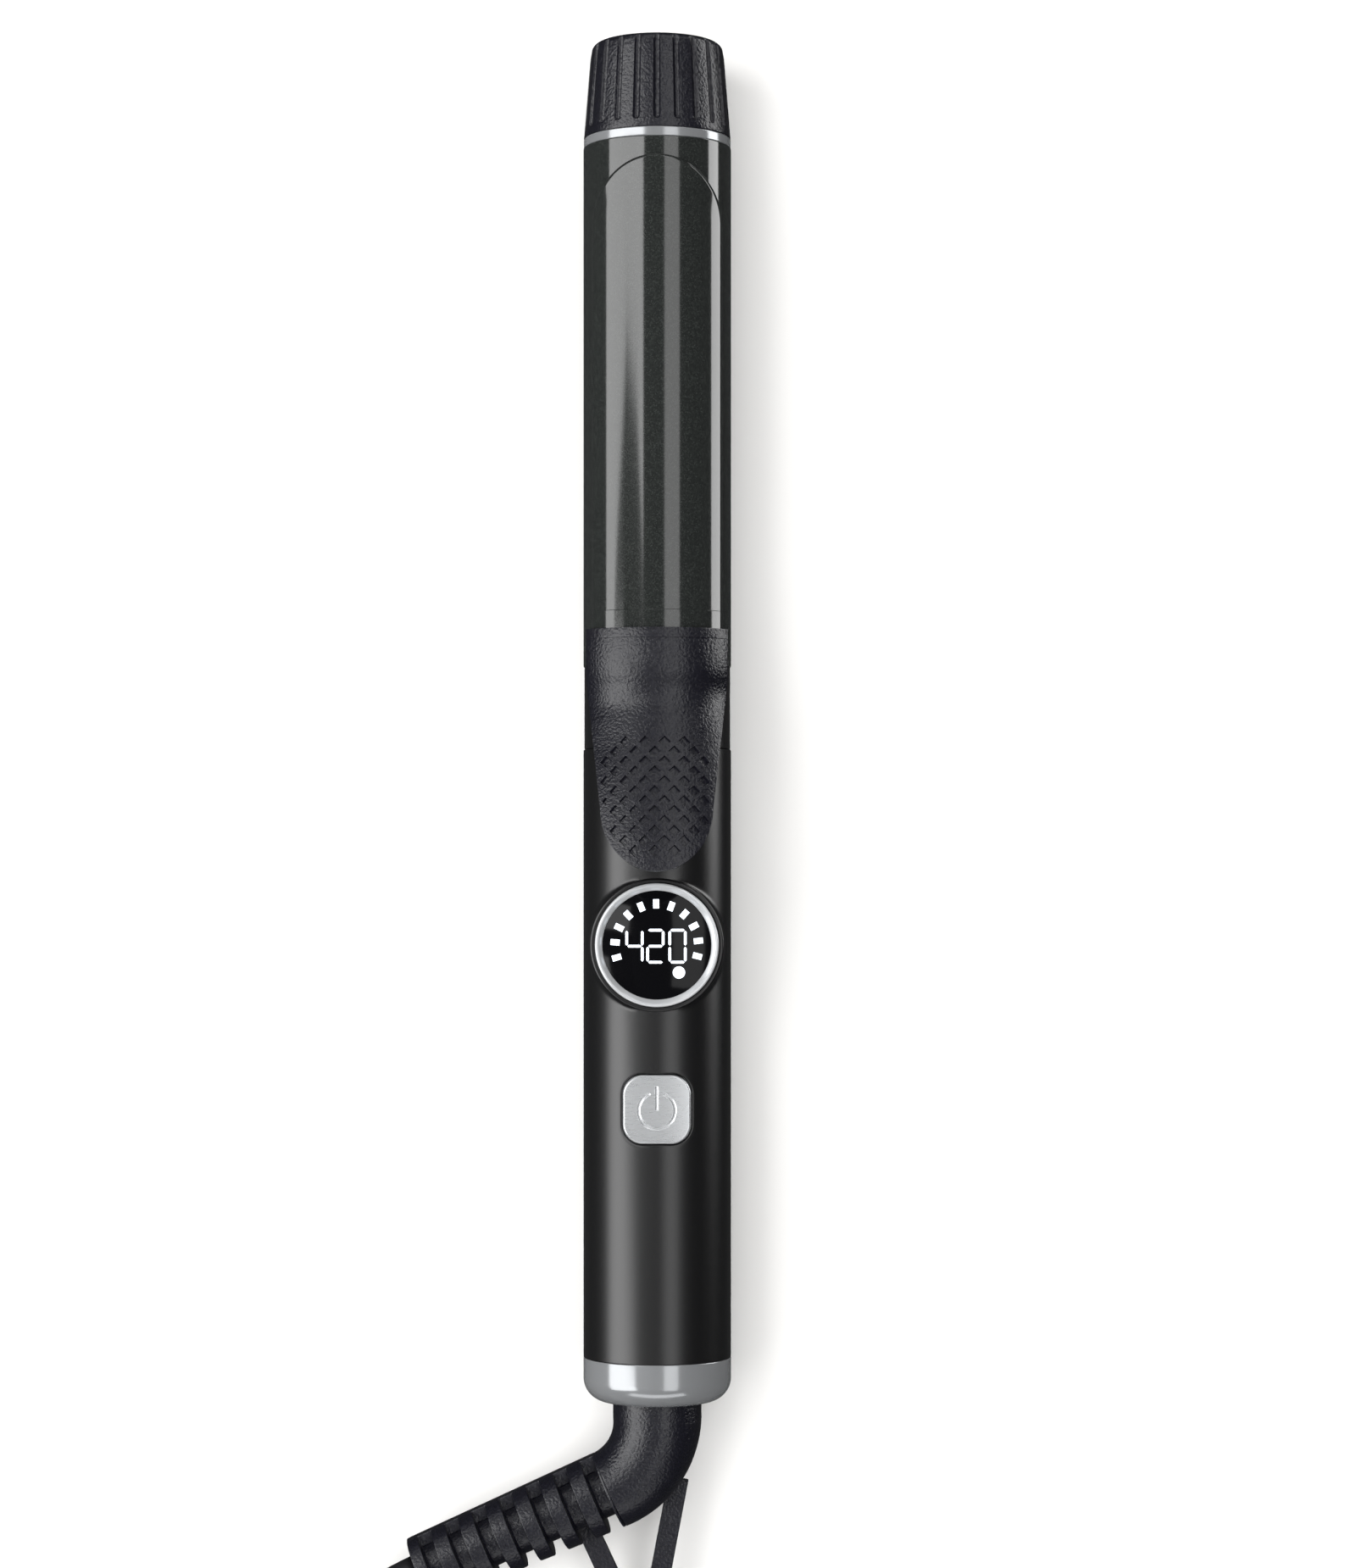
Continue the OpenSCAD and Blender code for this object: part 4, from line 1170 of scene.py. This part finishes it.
class WAND_OT_swivel(WandOperator):
    """Cord elbow, ribbed sleeve and hanging loop"""

    bl_idname = "wand.swivel"
    bl_label = "Swivel"

    def execute(self, context):
        points = [(0, -144.6, AXIS_Z), (0, -147, AXIS_Z)]
        radii = [9.6, 9.6]
        bend_r = 16.8
        for k in range(41):
            a = radians(66.5 * k / 40)
            points.append((-bend_r + bend_r * cos(a), -150.9 - bend_r * sin(a), AXIS_Z))
            radii.append(9.6 - 0.95 * k / 40)
        elbow = tube("elbow_bend", points, radii, 22)
        bevel(elbow, 0.25, 2, 60)
        smooth(elbow, 40)
        finish(elbow, "swivel", "grained_nylon", "grained_plastic", "cord_elbow")

        def wall(s):
            """Radius of the tapered sleeve at a place along it."""
            return 8.65 - 0.95 * s / 45

        # Seven grooves 3 mm wide, each with a rib behind it
        rows = [(0, 0), (0, 8.4), (0.12, 8.58), (0.35, wall(0.35)), (0.6, wall(0.6) - 0.1)]
        for k in range(7):
            a = 0.6 + 6.45 * k
            b = a + 3
            rows += [(a, 5.7), (a + 0.3, 5.4), (b - 0.3, 5.4), (b, 5.7)]
            r = wall(b)
            rows += [(b, r - 0.3), (b + 0.09, r - 0.09), (b + 0.3, r)]
            last = b + 3.45 if k < 6 else 45
            r = wall(last)
            rows += [(last - 0.3, r), (last - 0.09, r - 0.09), (last, r - 0.3)]
        rows += [(45, 4.6), (44.6, 4.2), (42, 4.1), (42, 0)]
        sleeve = turned("ribbed_sleeve", rows, 96, IN_SLEEVE)
        # A rail joins the ribs along the sleeve
        rail = box("rail", (-2, -8.5, 0.2), (2, -5, 44.6))
        for vertex in rail.data.vertices:
            if vertex.co.y < -6 * MM:
                vertex.co.y = -(wall(vertex.co.z / MM) - 0.12) * MM
        settle(rail, IN_SLEEVE)
        bevel(rail, 0.35, 2)
        sleeve = join([sleeve, rail], "ribbed_sleeve")
        smooth(sleeve, 36)
        finish(sleeve, "swivel", "grained_nylon", "grained_plastic", "strain_relief")

        end = Vector((-2.6, -202.5))
        loop_end = [(11.2, 0), (11.2, 2.2), (14.2, 2.2), (14.2, 0)]
        parts = [turned("loop_end", loop_end, 40, shifted(end.x, end.y))]
        for foot in (Vector((4.6, -164.5)), Vector((-15.6, -174.5))):
            way = end - foot
            bar = box("bar", (0, -2.2, 11.2), (way.length, 2.2, 14.2))
            settle(bar, shifted(foot.x, foot.y) @ Matrix.Rotation(atan2(way.y, way.x), 4, "Z"))
            parts.append(bar)
        loop = parts[1]
        combine(loop, parts[2], "UNION")
        combine(loop, parts[0], "UNION")
        loop.name = "hanging_eye"
        tidy(loop)
        bevel(loop, 0.55, 3, 40)
        smooth(loop, 34)
        finish(loop, "swivel", "grained_nylon", "grained_plastic", "hanging_loop")
        return {"FINISHED"}


class WAND_OT_inner_parts(WandOperator):
    """Finishes of the parts inside, whose CAD shape stays"""

    bl_idname = "wand.inner_parts"
    bl_label = "Inner parts"

    def execute(self, context):
        for material, nodes in {
            "drawn_steel": ["tip_screw", "hinge_pin", "torsion_spring", "clamp_bracket", "clamp_rivets",
                            "lever_screw", "handle_screws", "board_screws", "retaining_clip"],
            "extruded_aluminium": ["heater_shell_upper", "heater_shell_lower"],
            "sintered_alumina": ["ceramic_heater", "barrel_insulator", "thermal_fuse"],
            "solder_mask": ["control_board", "display_module"],
            "moulded_resin": ["triac", "capacitor", "controller_chip", "tactile_switch", "temperature_sensor"],
            "braided_sleeving": ["heater_leads"],
            "turned_brass": ["swivel_contacts", "slip_rings"],
            "grained_nylon": ["tip_plug", "swivel_socket", "swivel_spindle", "switch_plunger"],
        }.items():
            coat(nodes, material)
        return {"FINISHED"}


class WAND_OT_materials(WandOperator):
    """All finishes"""

    bl_idname = "wand.materials"
    bl_label = "Finishes"

    def execute(self, context):
        colours = context.scene.wand_colours
        nylon = colours.grained
        MATERIALS.update(
            ceramic_coat=ceramic_coat(colours.barrel),
            # Moulded ABS, fine spark-eroded finish: near black with a broad soft sheen
            satin_abs=grained("Satin black ABS", colours.handle, 0.3, 0.45, 0.006, (0.3, 0.38),
                              IOR=1.54, Coat_Weight=0.6, Coat_Roughness=0.3),
            # Glass-filled nylon from a grained mould: heatproof and dull, its grain breaks the light into
            # small dots. The grain is drawn 0.6 mm wide, coarser than it is, so that it shows
            grained_nylon=grained("Grained black nylon", nylon, 0.32, 0.6, 0.16, (0.24, 0.38),
                                  ([c * 0.5 for c in nylon], [c * 1.8 for c in nylon]), IOR=1.6),
            # Chromed ABS on a finely blasted mould: mirrors the lights a little softened, with faint wiping marks
            polished_chrome=grained("Satin chrome plate", colours.trim, 0.15, 0.8, 0.0008, (0.12, 0.2),
                                    scale=(1, 9, 1), metallic=0.55),
            # Aluminium brushed across: the scratches draw the light out into a soft silver field
            brushed_aluminium=grained("Brushed aluminium", srgb("#cfd1d3"), 0.3, 0.2, 0.0004, (0.22, 0.36),
                                      scale=(0.05, 1, 1), metallic=0.75),
            # Anodised aluminium ring, spun: pale silver all round, brighter where it faces a light
            spun_aluminium=grained("Spun aluminium", srgb("#cdcfd1"), 0.28, 2.0, 0.001, (0.2, 0.28),
                                   metallic=0.45),
            # Smoked acrylic, polished: black with a clear sharp gloss
            lens_acrylic=grained("Smoked acrylic", srgb("#08080a"), 0.08, 4.0, 0.001, (0.06, 0.12),
                                 IOR=1.49, Specular_IOR_Level=0.22),
            light_window=light_window(colours.light),
            # Zinc-plated steel, pressed or turned: grey, with the soft marks of tumbling
            drawn_steel=grained("Zinc-plated steel", srgb("#a9abae"), 0.3, 0.6, 0.006, (0.22, 0.42), metallic=1.0),
            # Extruded aluminium: pale, with die lines along its length
            extruded_aluminium=grained("Extruded aluminium", srgb("#c3c6c9"), 0.35, 0.5, 0.01, (0.28, 0.45),
                                       scale=(1, 0.03, 1), metallic=1.0),
            # Sintered alumina: chalk white, dry, with a fine grain
            sintered_alumina=grained("Sintered alumina", srgb("#e9e6df"), 0.6, 0.3, 0.01,
                                     tones=(srgb("#dcd8ce"), srgb("#f1efe9")), IOR=1.76),
            solder_mask=solder_mask(),
            # Epoxy moulding compound: dull black-brown with a fine filler speckle
            moulded_resin=grained("Epoxy moulding compound", srgb("#232224"), 0.55, 0.2, 0.01,
                                  tones=(srgb("#1b1a1c"), srgb("#39373a")), IOR=1.55),
            braided_sleeving=braided_sleeving(),
            # Brass, turned: warm yellow with fine rings from the tool
            turned_brass=grained("Turned brass", srgb("#c9a352"), 0.25, 0.3, 0.004, (0.18, 0.34),
                                 scale=(0.2, 1, 0.2), metallic=1.0),
            # PVC sheath, extruded: black, half gloss, with a faint fine bump and dust-dull patches
            cord_sheath=grained("Black PVC sheath", srgb("#161618"), 0.42, 0.7, 0.012, (0.34, 0.5), IOR=1.53),
            hook_strap=hook_strap(),
        )
        return {"FINISHED"}


class WAND_PT_build(Panel):
    bl_label = "Curling Wand"
    bl_idname = "WAND_PT_build"
    bl_space_type = "VIEW_3D"
    bl_region_type = "UI"
    bl_category = "Curling Wand"

    def draw(self, context):
        for group in (context.scene.wand_sizes, context.scene.wand_colours, context.scene.wand_stage):
            for key in group.bl_rna.properties.keys():
                if key not in ("rna_type", "name"):
                    self.layout.prop(group, key)
        for step in STEPS:
            self.layout.operator(step.bl_idname)


STEPS = (
    WAND_OT_materials, WAND_OT_stage, WAND_OT_plug, WAND_OT_cord, WAND_OT_cool_tip, WAND_OT_barrel, WAND_OT_plate,
    WAND_OT_lever, WAND_OT_handle, WAND_OT_display, WAND_OT_button, WAND_OT_end_cap, WAND_OT_swivel,
    WAND_OT_inner_parts,
)
GROUPS = {"wand_sizes": WandSizes, "wand_colours": WandColours, "wand_stage": WandStage}


def register():
    for group in GROUPS.values():
        bpy.utils.register_class(group)
    for key, group in GROUPS.items():
        setattr(bpy.types.Scene, key, PointerProperty(type=group))
    for step in STEPS:
        bpy.utils.register_class(step)
    bpy.utils.register_class(WAND_PT_build)


def unregister():
    bpy.utils.unregister_class(WAND_PT_build)
    for step in reversed(STEPS):
        bpy.utils.unregister_class(step)
    for key, group in GROUPS.items():
        delattr(bpy.types.Scene, key)
        bpy.utils.unregister_class(group)


def main():
    register()
    for step in STEPS:
        area, action = step.bl_idname.split(".")
        getattr(getattr(bpy.ops, area), action)()


if __name__ == "__main__":
    main()
